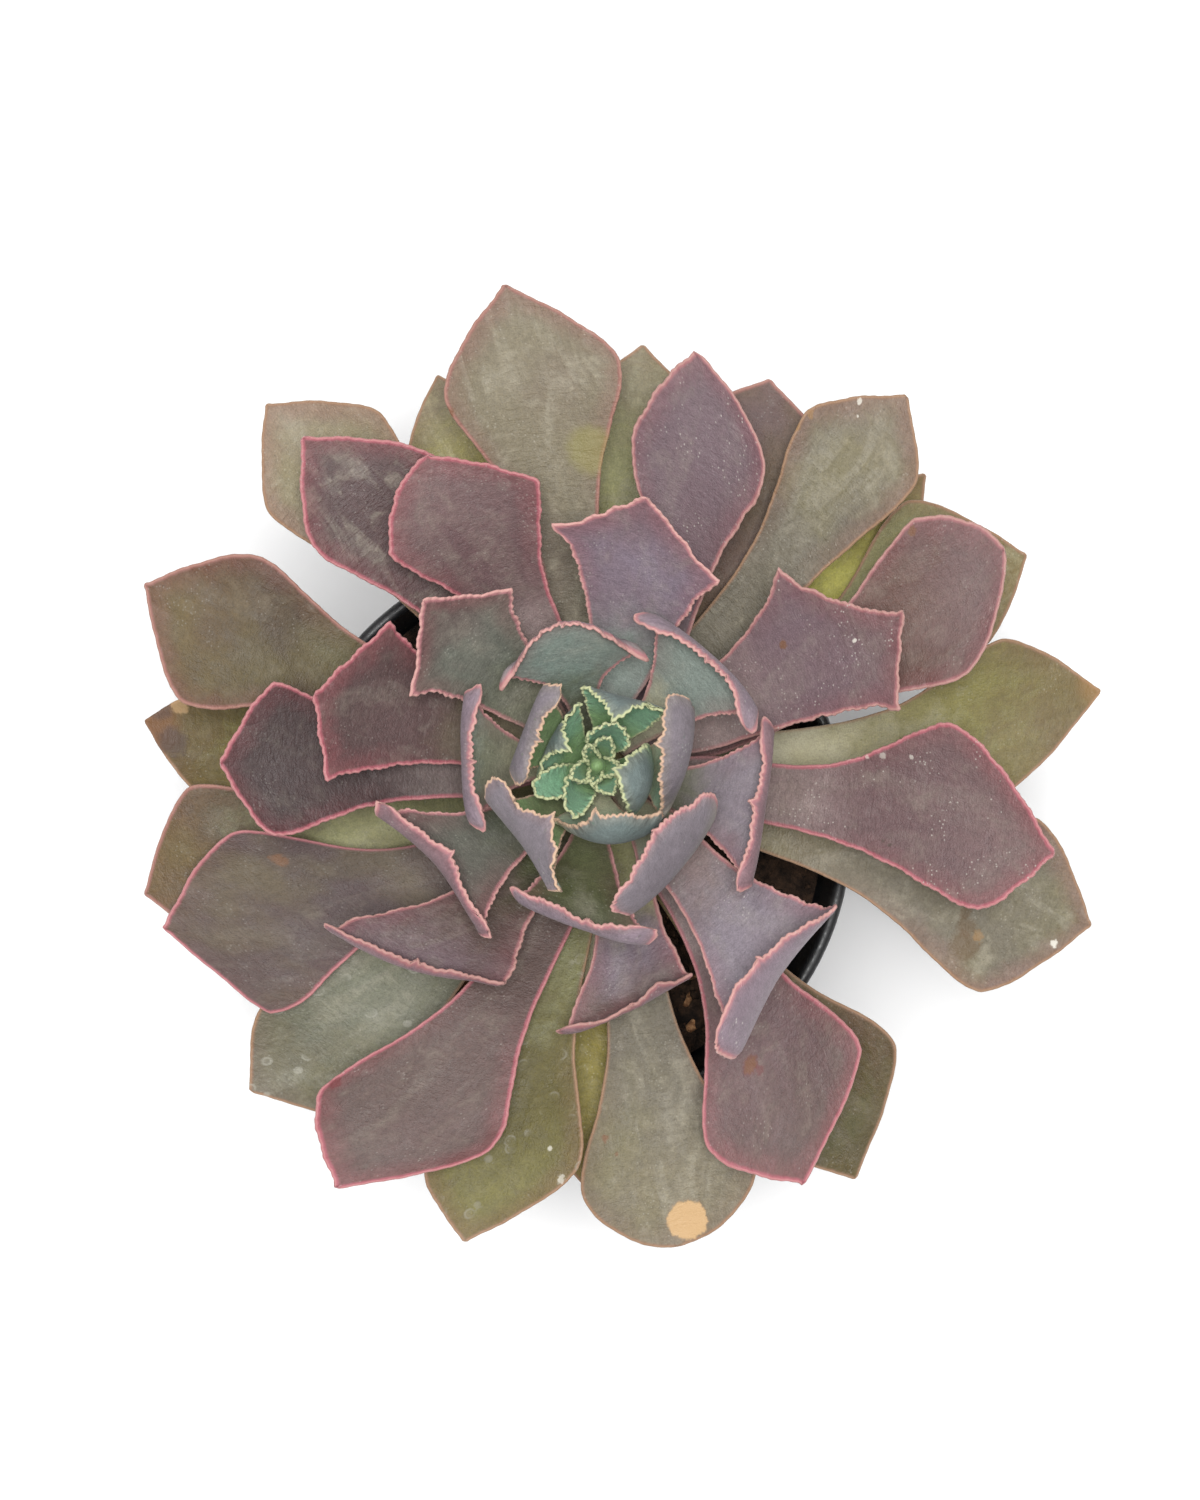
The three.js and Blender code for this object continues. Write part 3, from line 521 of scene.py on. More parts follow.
def add_leaf(shape, row, ribs, strips, draw):
    """One leaf with its frill: an upper face, a lower face and a rounded margin between."""
    surface = LeafSurface(*row)
    level = surface.level
    outline = Outline(surface, draw)
    shares = np.linspace(0, 1, ribs + 1) ** RIB_CROWDING
    shares[-1] = LAST_RIB
    left, right = surface.margin(1, shares), surface.margin(-1, shares)
    t = np.linspace(-1, 1, 2 * strips + 1)
    across = np.sign(t) * (1 - (1 - np.abs(t)) ** STRIP_CROWDING)
    middle = (surface.length * shares)[:, None]
    on_left = (across < 0)[None, :]
    edge_x = np.where(on_left, left[0][:, None], right[0][:, None])
    edge_y = np.where(on_left, left[1][:, None], right[1][:, None])
    share = np.abs(across)[None, :]
    x, y = middle + (edge_x - middle) * share, edge_y * share

    distance, nearest = outline.nearest(x, y)
    reach = between(FRILL_REACH, level)
    fade = np.exp(-((distance / reach) ** 1.6))
    soft_fade = np.exp(-((distance / (1.4 * reach)) ** 2))
    moved_x = x + outline.out_x[nearest] * outline.outward[nearest] * fade
    sharp = np.exp(-distance / 0.8)
    moved_x = moved_x + outline.sharp_x[nearest] * sharp
    moved_y = y + outline.out_y[nearest] * outline.outward[nearest] * fade
    moved_y = moved_y + outline.sharp_y[nearest] * sharp
    moved_x, moved_y = outline.with_lobes(moved_x, moved_y)
    upper, normal = surface.at(moved_x, moved_y, surface.shift(y))
    along = x / surface.length
    sway = between(SWAY, level) * smoothstep(along / 0.4)
    phase = draw.uniform(0, 6.28, 4)
    body = np.sin(x / 9 + y / 14 + phase[0]) * np.sin(y / 8 - x / 17 + phase[1])
    body += 0.5 * np.sin(x / 4.3 + phase[2]) * np.sin(y / 4.9 + phase[3])
    rise = sway * body * (1 - soft_fade * 0.5) + outline.upward[nearest] * soft_fade
    upper = upper + normal * rise[..., None]
    thickness = surface.thickness_at(shares[:, None], share * np.ones_like(x))
    thickness = np.where(distance < 0.9, 0.5 + (thickness - 0.5) * distance / 0.9, thickness)
    lower = upper - normal * thickness[..., None]

    index = np.arange(x.size).reshape(x.shape)
    loop = np.concatenate([index[:, 0], index[-1, 1:], index[-2::-1, -1], index[0, -2:0:-1]])
    top, low = upper.reshape(-1, 3), lower.reshape(-1, 3)
    centre = (top[loop] + low[loop]) / 2
    ahead = np.roll(centre, -1, 0) - np.roll(centre, 1, 0)
    square = np.cross(top[loop] - low[loop], ahead)
    square /= np.linalg.norm(square, axis=1, keepdims=True) + 1e-9
    points = np.concatenate([top, low, centre + square * MARGIN_BULGE])
    faces = grid_faces(index) + [face[::-1] for face in grid_faces(index + x.size)]
    bulge = np.arange(2 * x.size, len(points))
    faces += ring_faces(np.stack([loop, bulge, loop + x.size]))

    def everywhere(values):
        values = values.reshape(x.size, -1).squeeze()
        return np.concatenate([values, values, values[loop]])

    under = np.repeat([0.0, 1.0, 0.5], [x.size, x.size, len(loop)])
    flat = everywhere(np.stack([x, y, np.full_like(x, PATTERN_STEP * level)], -1))
    shape.add(points, faces, flat=flat, rim=everywhere(distance), along=everywhere(along), under=under)


def colour(red, green, blue):
    """A colour given as 0 to 255 on a screen, as Blender's linear values."""
    screen = [red / 255, green / 255, blue / 255]
    linear = [v / 12.92 if v <= 0.04045 else ((v + 0.055) / 1.055) ** 2.4 for v in screen]
    return (*linear, 1)


class Paint:
    """A material whose nodes are added one by one. Each call returns the socket it made."""

    def __init__(self, name):
        self.material = bpy.data.materials.new(name)
        self.material.use_nodes = True
        self.tree = self.material.node_tree
        self.tree.nodes.clear()
        self.shader = self.tree.nodes.new("ShaderNodeBsdfPrincipled")
        output = self.tree.nodes.new("ShaderNodeOutputMaterial")
        self.tree.links.new(self.shader.outputs["BSDF"], output.inputs["Surface"])

    def put(self, socket, value):
        """Links a socket to another node's output, or sets it to a constant."""
        if isinstance(value, bpy.types.NodeSocket):
            self.tree.links.new(value, socket)
        else:
            socket.default_value = value

    def node(self, kind, inputs, **settings):
        made = self.tree.nodes.new(kind)
        for key, value in settings.items():
            setattr(made, key, value)
        for key, value in inputs.items():
            self.put(made.inputs[key], value)
        return made

    def attribute(self, name, output="Fac"):
        return self.node("ShaderNodeAttribute", {}, attribute_name=name).outputs[output]

    def object_place(self):
        return self.node("ShaderNodeTexCoord", {}).outputs["Object"]

    def math(self, operation, a, b=0.0):
        return self.node("ShaderNodeMath", {0: a, 1: b}, operation=operation).outputs[0]

    def add(self, a, b):
        return self.math("ADD", a, b)

    def times(self, product, *factors):
        for factor in factors:
            product = self.math("MULTIPLY", product, factor)
        return product

    def swing(self, value, size):
        """How far a pattern is above or below its middle, 0.5, times a size."""
        return self.times(self.add(value, -0.5), size)

    def vector_math(self, operation, inputs, output="Vector"):
        return self.node("ShaderNodeVectorMath", inputs, operation=operation).outputs[output]

    def stretched(self, vector, scale):
        return self.vector_math("MULTIPLY", {0: vector, 1: scale})

    def distance(self, vector, place):
        return self.vector_math("DISTANCE", {0: vector, 1: place}, "Value")

    def noise(self, vector, scale, detail=2.0, roughness=0.5, distortion=0.0):
        inputs = {"Vector": vector, "Scale": scale, "Detail": detail}
        inputs |= {"Roughness": roughness, "Distortion": distortion}
        return self.node("ShaderNodeTexNoise", inputs).outputs["Fac"]

    def cells(self, vector, scale):
        inputs = {"Vector": vector, "Scale": scale}
        return self.node("ShaderNodeTexVoronoi", inputs).outputs["Distance"]

    def fit(self, value, low, high, to_low=0.0, to_high=1.0, kind="SMOOTHSTEP"):
        inputs = {"Value": value, "From Min": low, "From Max": high}
        inputs |= {"To Min": to_low, "To Max": to_high}
        made = self.node("ShaderNodeMapRange", inputs, interpolation_type=kind)
        return made.outputs["Result"]

    def mix(self, share, first, second):
        inputs = {0: share, 6: first, 7: second}
        return self.node("ShaderNodeMix", inputs, data_type="RGBA").outputs[2]

    def over(self, base, tone, pattern, low, high, *shares):
        """base with a tone over it as far as a pattern goes from low to high, times the shares."""
        return self.mix(self.times(self.fit(pattern, low, high), *shares), base, tone)

    def shade(self, base, factor):
        """base made lighter or darker by a factor around 1."""
        return self.vector_math("SCALE", {0: base, "Scale": factor})

    def finish(self, base, roughness, bumps, gloss, sheen=0.0):
        """Sets the shader up, with each (height, metres, strength) of bumps in turn."""
        sockets = self.shader.inputs
        self.put(sockets["Base Color"], base)
        self.put(sockets["Roughness"], roughness)
        sockets["Specular IOR Level"].default_value = gloss
        sockets["Sheen Weight"].default_value = sheen
        below = {}
        for height, metres, strength in bumps:
            inputs = {"Height": height, "Distance": metres, "Strength": strength} | below
            below = {"Normal": self.node("ShaderNodeBump", inputs).outputs["Normal"]}
        if below:
            self.put(sockets["Normal"], below["Normal"])
        return self.material


def mixed(first, second, share):
    return tuple(a + (b - a) * share for a, b in zip(first, second))


LIME = colour(176, 172, 84)
OLIVE = colour(108, 98, 40)
YELLOW_OLIVE = colour(138, 131, 70)
KHAKI = colour(150, 149, 102)
DRAB = colour(84, 79, 38)
TAN = colour(112, 90, 60)
UMBER = colour(96, 69, 60)
RUSSET = colour(94, 71, 42)
BROWN = colour(78, 63, 46)
STONE = colour(105, 98, 82)
SAGE = colour(118, 109, 88)
SAND = colour(134, 123, 100)
CELADON = colour(117, 118, 99)
MOSS = colour(84, 88, 58)
FERN = colour(112, 118, 84)
CREAM = colour(172, 170, 142)
SHELL = colour(138, 121, 118)
PALE = colour(196, 190, 160)
PLUM = colour(78, 60, 59)
DUSK = colour(87, 69, 64)
MAUVE = colour(95, 72, 73)
ROSE = colour(106, 83, 82)
LILAC = colour(106, 87, 93)
VIOLET = colour(113, 101, 112)
SILVER = colour(127, 118, 126)
SLATE = colour(98, 102, 92)
MIST = colour(131, 141, 134)
TEAL = colour(118, 135, 127)
JADE = colour(118, 160, 136)
FRESH = colour(126, 154, 104)
MINT = colour(142, 190, 154)
SPRING = colour(150, 184, 122)

# The tones of each leaf near its foot, in its middle and at its head, and how light it is. The
# lightness is partly the leaf's own and partly painted light and shade: it lifts leaves that lie
# in shade and darkens open ones. The pale feet are partly the leaves' own paler bases and partly
# painted light where shade falls among the leaves.
TONES = {
    1: (LIME, LIME, TAN, 0.93),
    2: (LIME, OLIVE, RUSSET, 0.86),
    3: (LIME, YELLOW_OLIVE, SAGE, 1.0),
    4: (PALE, OLIVE, OLIVE, 1.12),
    5: (CREAM, KHAKI, TAN, 0.92),
    6: (KHAKI, BROWN, TAN, 0.9),
    7: (YELLOW_OLIVE, RUSSET, DRAB, 0.88),
    8: (KHAKI, KHAKI, SAND, 0.87),
    9: (CELADON, CELADON, STONE, 0.9),
    10: (PALE, YELLOW_OLIVE, TAN, 0.85),
    11: (STONE, STONE, SAGE, 0.98),
    12: (RUSSET, UMBER, ROSE, 0.86),
    13: (DUSK, PLUM, DUSK, 0.9),
    14: (SAGE, STONE, STONE, 1.0),
    15: (SAGE, SAGE, SAND, 1.0),
    16: (KHAKI, OLIVE, YELLOW_OLIVE, 0.78),
    17: (STONE, STONE, SAGE, 0.96),
    18: (FERN, BROWN, RUSSET, 0.91),
    19: (SHELL, MAUVE, DUSK, 0.99),
    20: (STONE, SAGE, SAGE, 0.98),
    21: (DUSK, DUSK, DUSK, 0.98),
    22: (ROSE, UMBER, ROSE, 0.95),
    23: (ROSE, PLUM, PLUM, 0.98),
    24: (KHAKI, VIOLET, DUSK, 1.0),
    25: (LILAC, LILAC, LILAC, 0.95),
    26: (SHELL, PLUM, PLUM, 0.78),
    27: (SHELL, MAUVE, ROSE, 0.97),
    28: (SHELL, MAUVE, ROSE, 0.97),
    29: (MOSS, DUSK, LILAC, 0.95),
    30: (SHELL, LILAC, MAUVE, 0.98),
    31: (SAGE, PLUM, PLUM, 1.0),
    32: (SHELL, SILVER, SILVER, 1.02),
    33: (MIST, VIOLET, LILAC, 1.04),
    34: (MOSS, SLATE, MAUVE, 0.96),
    35: (CELADON, SILVER, SILVER, 1.04),
    36: (CELADON, SLATE, PLUM, 1.02),
    37: (FERN, MOSS, CELADON, 0.98),
    38: (PALE, MIST, MIST, 0.99),
    39: (CREAM, CELADON, MIST, 1.02),
    40: (CREAM, MIST, MIST, 1.02),
    41: (MOSS, TEAL, MIST, 1.04),
    42: (FERN, FRESH, TEAL, 1.0),
    43: (PALE, JADE, JADE, 1.0),
    44: (FRESH, FRESH, JADE, 1.0),
    45: (PALE, JADE, JADE, 1.0),
}
INNER_TONES = (SPRING, MINT, MINT, 0.89)

PINK_LILAC = colour(122, 98, 103)
PALE_LILAC = colour(124, 109, 118)
GREY_LILAC = colour(116, 108, 114)
TEAL_GREY = colour(104, 116, 114)

# The undersides that a curled leaf shows.
UNDERSIDES = {24: PINK_LILAC, 29: PINK_LILAC, 34: PINK_LILAC, 35: PINK_LILAC, 32: PALE_LILAC}
UNDERSIDES |= {37: PALE_LILAC, 38: PALE_LILAC, 39: PALE_LILAC, 40: GREY_LILAC, 41: GREY_LILAC}
UNDERSIDES |= {42: GREY_LILAC, 43: GREY_LILAC, 44: GREY_LILAC, 45: TEAL_GREY}

RUST = colour(112, 76, 48)
GOLD = colour(150, 114, 66)
CORK = colour(190, 156, 112)
CHALK = colour(222, 218, 206)
WINE = colour(104, 46, 48)
DOT = colour(72, 56, 50)

# Stains and scars: (level, along, across, radius) on the flat blade, colour and share.
MARKS = (
    (2, 80, 0, 9, RUST, 0.75),
    (2, 74, 3, 3.6, DOT, 0.7),
    (2, 77, -3, 3.2, DOT, 0.6),
    (2, 73, -4, 2, CORK, 0.5),
    (10, 90, 3, 8, GOLD, 0.5),
    (11, 62.8, -10.2, 0.9, RUST, 0.8),
    (11, 80.7, 2.5, 4.7, RUST, 0.7),
    (11, 80.7, 2.5, 4.0, CORK, 0.95),
    (11, 66, -8.5, 0.6, RUST, 0.6),
    (13, 50.4, -11.9, 1.8, RUST, 0.7),
    (14, 69.7, -10.4, 3.6, RUSSET, 0.6),
    (14, 69, -7.2, 2.4, RUSSET, 0.5),
    (14, 67.9, -4.6, 1.5, RUSSET, 0.5),
    (14, 71.5, -8.2, 1.4, GOLD, 0.5),
    (14, 85.1, -5.2, 0.9, CHALK, 0.8),
    (14, 27, -16.3, 1.4, GOLD, 0.6),
    (16, 71.3, 12.8, 1.1, CHALK, 0.45),
    (16, 66, 9, 0.6, CHALK, 0.5),
    (16, 62, -4, 0.7, RUST, 0.5),
    (17, 64.7, 14.5, 1.4, GOLD, 0.5),
    (17, 68, 13, 0.9, GOLD, 0.5),
    (17, 61, 13.6, 0.9, GOLD, 0.4),
    (17, 76.2, 6.7, 0.6, CHALK, 0.6),
    (17, 74, 5.5, 0.4, CHALK, 0.5),
    (19, 55.6, -3.7, 2.1, WINE, 0.5),
    (19, 55.6, -3.7, 1.7, RUST, 0.7),
    (19, 57.4, -2.2, 1.2, WINE, 0.5),
    (20, 62.4, 16.3, 1.2, RUST, 0.8),
    (20, 53.1, -7.9, 6, YELLOW_OLIVE, 0.5),
    (21, 64, -15.8, 1.4, WINE, 0.8),
    (22, 63.6, 14, 1.0, RUST, 0.7),
    (27, 42.6, 9.3, 0.7, CHALK, 0.35),
    (27, 46, 10, 0.5, CHALK, 0.35),
    (27, 49.2, 10.8, 0.7, CHALK, 0.3),
    (27, 54.4, 11.6, 0.5, CHALK, 0.35),
    (27, 52.8, -4.9, 0.5, DOT, 0.8),
    (27, 51.4, -4.4, 0.4, DOT, 0.7),
    (30, 38.1, 5.6, 1.0, RUST, 0.75),
    (30, 51.2, -0.1, 0.5, CHALK, 0.6),
)

# Leaves with many specks, with water rings, with pale streaks, with vivid margins and blush,
# and with reddish margins.
SPECKLED = (27, 32, 25, 30)
SPOTTED = (9, 16, 3)
STREAKED = (3, 5, 8, 9, 11, 14, 15, 17, 20, 23)
VIVID = (13, 19, 21, 23, 26, 27, 28, 31)
REDDISH_RIMS = (6, 12, 18, 20)

# How far from the foot, as a share of the leaf's length, the tone of the foot reaches.
FOOT_ENDS = {2: 0.84, 6: 0.82, 10: 0.7, 24: 0.74, 37: 0.5}


def lighter(tone, factor):
    return (*[v * factor for v in tone[:3]], 1)


def margin_look(level):
    """The colours of a leaf's margin and of its very edge, and how wide the margin is."""
    margin, edge, width = (150, 98, 100), (176, 134, 126), 0.42
    if level in REDDISH_RIMS:
        margin, edge, width = (140, 94, 86), (160, 118, 104), 0.36
    elif level < 18:
        margin, edge, width = (132, 100, 78), (152, 120, 92), 0.26
    if level in VIVID:
        margin, edge = (156, 84, 94), (180, 122, 122)
    if level > 31:
        margin, edge = (170, 114, 118), (196, 150, 142)
    if level > 41:
        margin, edge, width = (178, 138, 122), (200, 170, 142), 0.22
    if level > 45:
        margin, edge = (166, 176, 130), (190, 192, 150)
    return colour(*margin), colour(*edge), width


def leaf_material(name, level):
    old, heart, streaked = level < 14, level > 41, level in STREAKED
    foot, middle, head, light = TONES.get(level, INNER_TONES)
    # The lightness factor is partly painted light and shade, evening out the light that reaches the
    # leaf.
    light = light**2.2
    cast = lighter(mixed(middle, ROSE if level > 18 else YELLOW_OLIVE, 0.6), light)
    pale = lighter(mixed(middle, colour(178, 172, 154), 0.5), light)
    blush = lighter(mixed(head, colour(140, 72, 78), 0.55), light)
    chalky = lighter(mixed(middle, CHALK, 0.55), light)
    # dark serves both the painted shade towards the margin and the small dark pits.
    dark = lighter(middle, 0.5)
    foot, middle, head = [lighter(tone, light) for tone in (foot, middle, head)]
    below = UNDERSIDES.get(level, TEAL_GREY if heart else LILAC)
    margin, edge, width = margin_look(level)

    paint = Paint(name)
    add, fit, mix, over = paint.add, paint.fit, paint.mix, paint.over
    noise, cells, swing, times = paint.noise, paint.cells, paint.swing, paint.times
    flat = paint.attribute("flat", "Vector")
    rim, along, under = [paint.attribute(key) for key in ("rim", "along", "under")]
    tone = noise(flat, 0.05, 3.0, 0.55)
    patch = noise(flat, 0.2, 4.0, 0.6, 0.4)
    mottle = noise(flat, 0.8, 4.0, 0.65)
    grain = noise(flat, 3.2, 2.0, 0.6)
    streak = noise(paint.stretched(flat, (0.05, 0.14, 1.0)), 1.0, 4.0, 0.6, 1.0)
    wrinkle = noise(paint.stretched(flat, (1.1, 0.4, 1.0)), 1.0, 3.0, 0.6, 0.6)

    run = add(along, swing(patch, 0.35))
    foot_end = FOOT_ENDS.get(level, 0.62)
    body = over(middle, foot, run, foot_end, foot_end - 0.3)
    body = over(body, head, run, 0.66, 0.95)
    body = over(body, cast, tone, 0.42, 0.66, 0.1 if heart else 0.35)
    crinkled = fit(wrinkle, 0.35, 0.65, 0.4, 1.0)
    body = over(body, pale, streak, 0.46, 0.66, crinkled, 0.6 if streaked else 0.2)
    body = over(body, pale, patch, 0.54, 0.7, 0.45 if streaked else 0.2)
    wide = add(rim, swing(patch, 5.0))
    # Painted shade: the blade is darkened towards its margin, from 7 mm inside it, to look rounded.
    body = over(body, dark, wide, 7.0, 1.0, 0.16)
    blush_width = 1.5 if heart else 5.0
    blush_share = 0.12 if old else 0.58 if level in VIVID else 0.1 if heart else 0.42
    body = over(body, blush, wide, blush_width, 0.3, fit(along, 0.4, 0.85), blush_share)

    below = over(lighter(below, 0.96), lighter(below, 1.08), patch, 0.4, 0.62)
    below = over(below, foot, along, 0.8, 0.5)
    below = over(below, blush, rim, 2.0, 0.3, 0.35)
    surface = mix(under, body, below)

    mottling = fit(mottle, 0.25, 0.75, 0.82, 1.16, "LINEAR")
    graining = fit(grain, 0.25, 0.75, 0.86, 1.14, "LINEAR")
    surface = paint.shade(surface, times(mottling, graining))
    pitted = fit(noise(flat, 0.3, 2.0), 0.5, 0.6)
    surface = over(surface, dark, cells(flat, 0.75), 0.2, 0.08, pitted, 0.4)

    soft = 0.22 if heart else 0.45
    band = fit(add(rim, swing(mottle, 0.5)), width + soft, width - 0.2)
    start = 0.4 if old else 0.2
    band = times(band, fit(along, start, start + 0.3, 0.0 if heart else 0.35))
    surface = mix(band, surface, margin)
    surface = over(surface, edge, rim, 0.36, 0.1, band, 0.8)

    chosen = fit(noise(flat, 0.14, 2.0), 0.48, 0.6)
    specks = 0.6 if level in SPECKLED else 0.25
    surface = over(surface, chalky, cells(flat, 1.1), 0.24, 0.1, specks, chosen)
    drop = cells(flat, 0.24)
    ring = fit(paint.math("ABSOLUTE", add(drop, -0.24)), 0.06, 0.02)
    dried = add(times(ring, 0.7), times(fit(drop, 0.26, 0.2), 0.3))
    surface = mix(times(dried, 0.5 if level in SPOTTED else 0.08, chosen), surface, chalky)

    for x, y, radius, stain, share in [mark[1:] for mark in MARKS if mark[0] == level]:
        apart = paint.distance(flat, (x, y, PATTERN_STEP * level))
        apart = add(apart, swing(mottle, min(radius * 2.2, 2.4)))
        inside = radius - 0.7 if stain == CORK else radius / 2
        surface = over(surface, stain, apart, radius, inside, share)

    roughness = 0.5 if level < 34 else 0.56
    rough = fit(patch, 0.3, 0.7, roughness - 0.06, roughness + 0.08)
    bumps = [(mottle, 0.0004, 0.4), (streak, 0.0008, 0.3)]
    bumps += [(wrinkle, 0.0004, 0.6 if streaked else 0.35), (grain, 0.0002, 0.3)]
    return paint.finish(surface, rough, bumps, 0.35, 0.08)


def pot_material():
    paint = Paint("black_plastic")
    place = paint.object_place()
    scuffs = paint.noise(paint.stretched(place, (900, 900, 60)), 1.0, 4.0, 0.6)
    dust = paint.noise(place, 60.0, 4.0, 0.6)
    grain = paint.noise(place, 2600.0, 2.0)
    base = paint.over(colour(20, 21, 23), colour(44, 43, 42), dust, 0.5, 0.75)
    base = paint.over(base, colour(86, 84, 80), scuffs, 0.62, 0.8, 0.35)
    rough = paint.fit(scuffs, 0.3, 0.75, 0.36, 0.6)
    return paint.finish(base, rough, [(grain, 0.00005, 0.5), (scuffs, 0.0001, 0.3)], 0.5)


def soil_material():
    paint = Paint("peat")
    place = paint.object_place()
    clumps = paint.noise(place, 260.0, 6.0, 0.7)
    crumbs = paint.cells(place, 700.0)
    broad = paint.noise(place, 50.0, 2.0)
    base = paint.over(colour(22, 17, 14), colour(66, 49, 37), clumps, 0.35, 0.7)
    base = paint.over(base, colour(44, 30, 21), broad, 0.5, 0.75, 0.5)
    base = paint.over(base, colour(120, 92, 66), paint.cells(place, 330.0), 0.14, 0.06, 0.55)
    return paint.finish(base, 0.93, [(clumps, 0.0016, 0.8), (crumbs, 0.0007, 0.6)], 0.2)


def crumb_material(name, first, second):
    paint = Paint(name)
    place = paint.object_place()
    fibre = paint.noise(paint.stretched(place, (1500, 1500, 500)), 1.0, 4.0, 0.65)
    base = paint.over(first, second, fibre, 0.35, 0.65)
    base = paint.shade(base, paint.fit(paint.noise(place, 150.0, 2.0), 0.3, 0.7, 0.6, 1.3))
    return paint.finish(base, 0.9, [(fibre, 0.0003, 0.7)], 0.2)


def stem_material():
    paint = Paint("stem_bark")
    place = paint.object_place()
    bark = paint.noise(paint.stretched(place, (500, 500, 1100)), 1.0, 5.0, 0.65)
    base = paint.over(colour(86, 74, 52), colour(134, 126, 92), bark, 0.35, 0.68)
    base = paint.over(base, colour(112, 116, 78), paint.noise(place, 130.0, 3.0), 0.5, 0.7)
    return paint.finish(base, 0.75, [(bark, 0.0008, 0.7)], 0.3)


def floor_material():
    paint = Paint("pale_floor")
    cloud = paint.noise(paint.object_place(), 3.0, 3.0)
    return paint.finish(paint.mix(cloud, colour(238, 238, 238), colour(243, 243, 243)), 0.8, [], 0.1)


def settle(piece, nodes):
    """Makes a piece ride on the plant's one body and stand for its solids."""
    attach(piece, "root")
    if nodes:
        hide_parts(*nodes)


def make_leaves():
    for row in LEAVES:
        level = row[0]
        draw = np.random.default_rng(500 + level)
        shape = Shape()
        add_leaf(shape, row, 130 if level > 13 else 110, 11, draw)
        material = leaf_material(f"leaf_skin_{level:02d}", level)
        settle(shape.build(f"blade_{level:02d}", material), [f"leaf_{level:02d}"])


def make_heart():
    """The growing tip: the last leaves on their short bud."""
    bud = Shape()
    points, faces = tube([circle(PLANT_AXIS, r, z, BUD_SIDES) for z, r in BUD_OUTLINE])
    rim, along, under = np.repeat([[9.0], [0.2], [0.0]], len(points), 1)
    bud.add(points, faces, flat=points, rim=rim, along=along, under=under)
    for row in HEART_LEAVES + BUD_LEAVES:
        level = row[0]
        draw = np.random.default_rng(900 + level)
        own = Shape() if level < 46 else bud
        add_leaf(own, row, 110 if level < 53 else 60, 9 if level < 53 else 6, draw)
        if level < 46:
            skin = leaf_material(f"heart_skin_{level}", level)
            settle(own.build(f"heart_blade_{level}", skin), [])
    piece = bud.build("heart_bud", leaf_material("heart_skin", 46))
    settle(piece, ["heart"])


# The pot: 108 mm across the rim and 90 mm high. The soil fills it to 10 mm under the rim.
POT_HEIGHT = 90
POT_RIM_RADIUS = 54
POT_FOOT_RADIUS = 39
POT_BAND_START = 77
POT_WALL = 1.6
POT_SIDES = 192
DRAIN_HOLES = 6
DRAIN_RADIUS = 3.5
DRAIN_CIRCLE_RADIUS = 27
DRAIN_SIDES = 32
SOIL_TOP = 80
SOIL_SIDES = 300
SOIL_RINGS = 95
SOIL_HOLE_RADIUS = 6.75
HEAPS = 60
CRUMBS = 900
CRUMB_SIDES = 7


def pot_radius(height):
    """Radius of the outside of the pot's tapered wall at a height, under the band."""
    return POT_FOOT_RADIUS + (POT_RIM_RADIUS - 2.6 - POT_FOOT_RADIUS) * height / POT_HEIGHT


def make_pot(material):
    band = POT_BAND_START
    outer, inner = pot_radius(band), pot_radius(band) - POT_WALL
    profile = [(12, 0.6), (12.8, 0.0), (36.6, 0.0), (38.2, 0.15), (39, 0.9)]
    for step in range(1, 10):
        height = 0.9 + (band - 2.6) * step / 9
        profile.append((pot_radius(height), height))
    profile += [(outer + 0.15, band - 1.1), (outer + 0.95, band - 0.5), (outer + 1.25, band + 0.2)]
    profile += [(outer + 1.35, band + 1.4), (52.6, 84), (52.85, 86.6), (53.1, 87.35), (53.6, 87.8)]
    profile += [(53.95, 88.3), (54, 88.9), (53.85, 89.45), (53.4, 89.85), (52.8, 90), (52.2, 89.95)]
    profile += [(51.75, 89.6), (51.5, 89.0), (51.35, 88), (inner + 1.3, band + 1.8)]
    profile += [(inner + 1, band + 1), (inner + 0.3, band + 0.2), (inner, band - 0.8)]
    for step in range(1, 9):
        height = (band - 0.8) + (4.8 - band) * step / 8
        profile.append((pot_radius(height) - POT_WALL, height))
    profile += [(36.8, 2.5), (36, 2.05), (30, 2.0), (15, 2.0)]
    rings = []
    for r, z in profile:
        wave = 0.05 * math.sin(z * 0.9) if 3 < z < band - 3 else 0
        rings.append(circle((0, 0), r + wave, z, POT_SIDES))
    shell, drills = Shape(), Shape()
    shell.add(*ball(rings, 0.6, 2.0))
    piece = shell.build("pot_shell", material)

    for hole in range(DRAIN_HOLES):
        angle = 2 * math.pi * (hole + 0.5) / DRAIN_HOLES
        middle = np.array([math.cos(angle), math.sin(angle)]) * DRAIN_CIRCLE_RADIUS
        drills.add(*tube([circle(middle, DRAIN_RADIUS, z, DRAIN_SIDES) for z in (-4.0, 7.0)]))
    drill = drills.build("drill", material)
    cut = piece.modifiers.new("holes", "BOOLEAN")
    cut.object = drill
    cut.operation = "DIFFERENCE"
    cut.solver = "EXACT"
    ready = piece.evaluated_get(bpy.context.evaluated_depsgraph_get())
    cut_mesh = bpy.data.meshes.new_from_object(ready)
    piece.modifiers.clear()
    piece.data = cut_mesh
    bpy.data.objects.remove(drill)
    piece.data.shade_smooth()
    piece.data.set_sharp_from_angle(angle=math.radians(35))
    settle(piece, ["pot"])


def soil_height(x, y):
    waves = np.sin(0.31 * x + 0.9) + np.sin(0.37 * y - 0.4)
    waves = waves + np.sin(0.21 * (x + y) + 2.1) + np.sin(0.57 * (x - 0.6 * y))
    return SOIL_TOP + 0.45 * waves


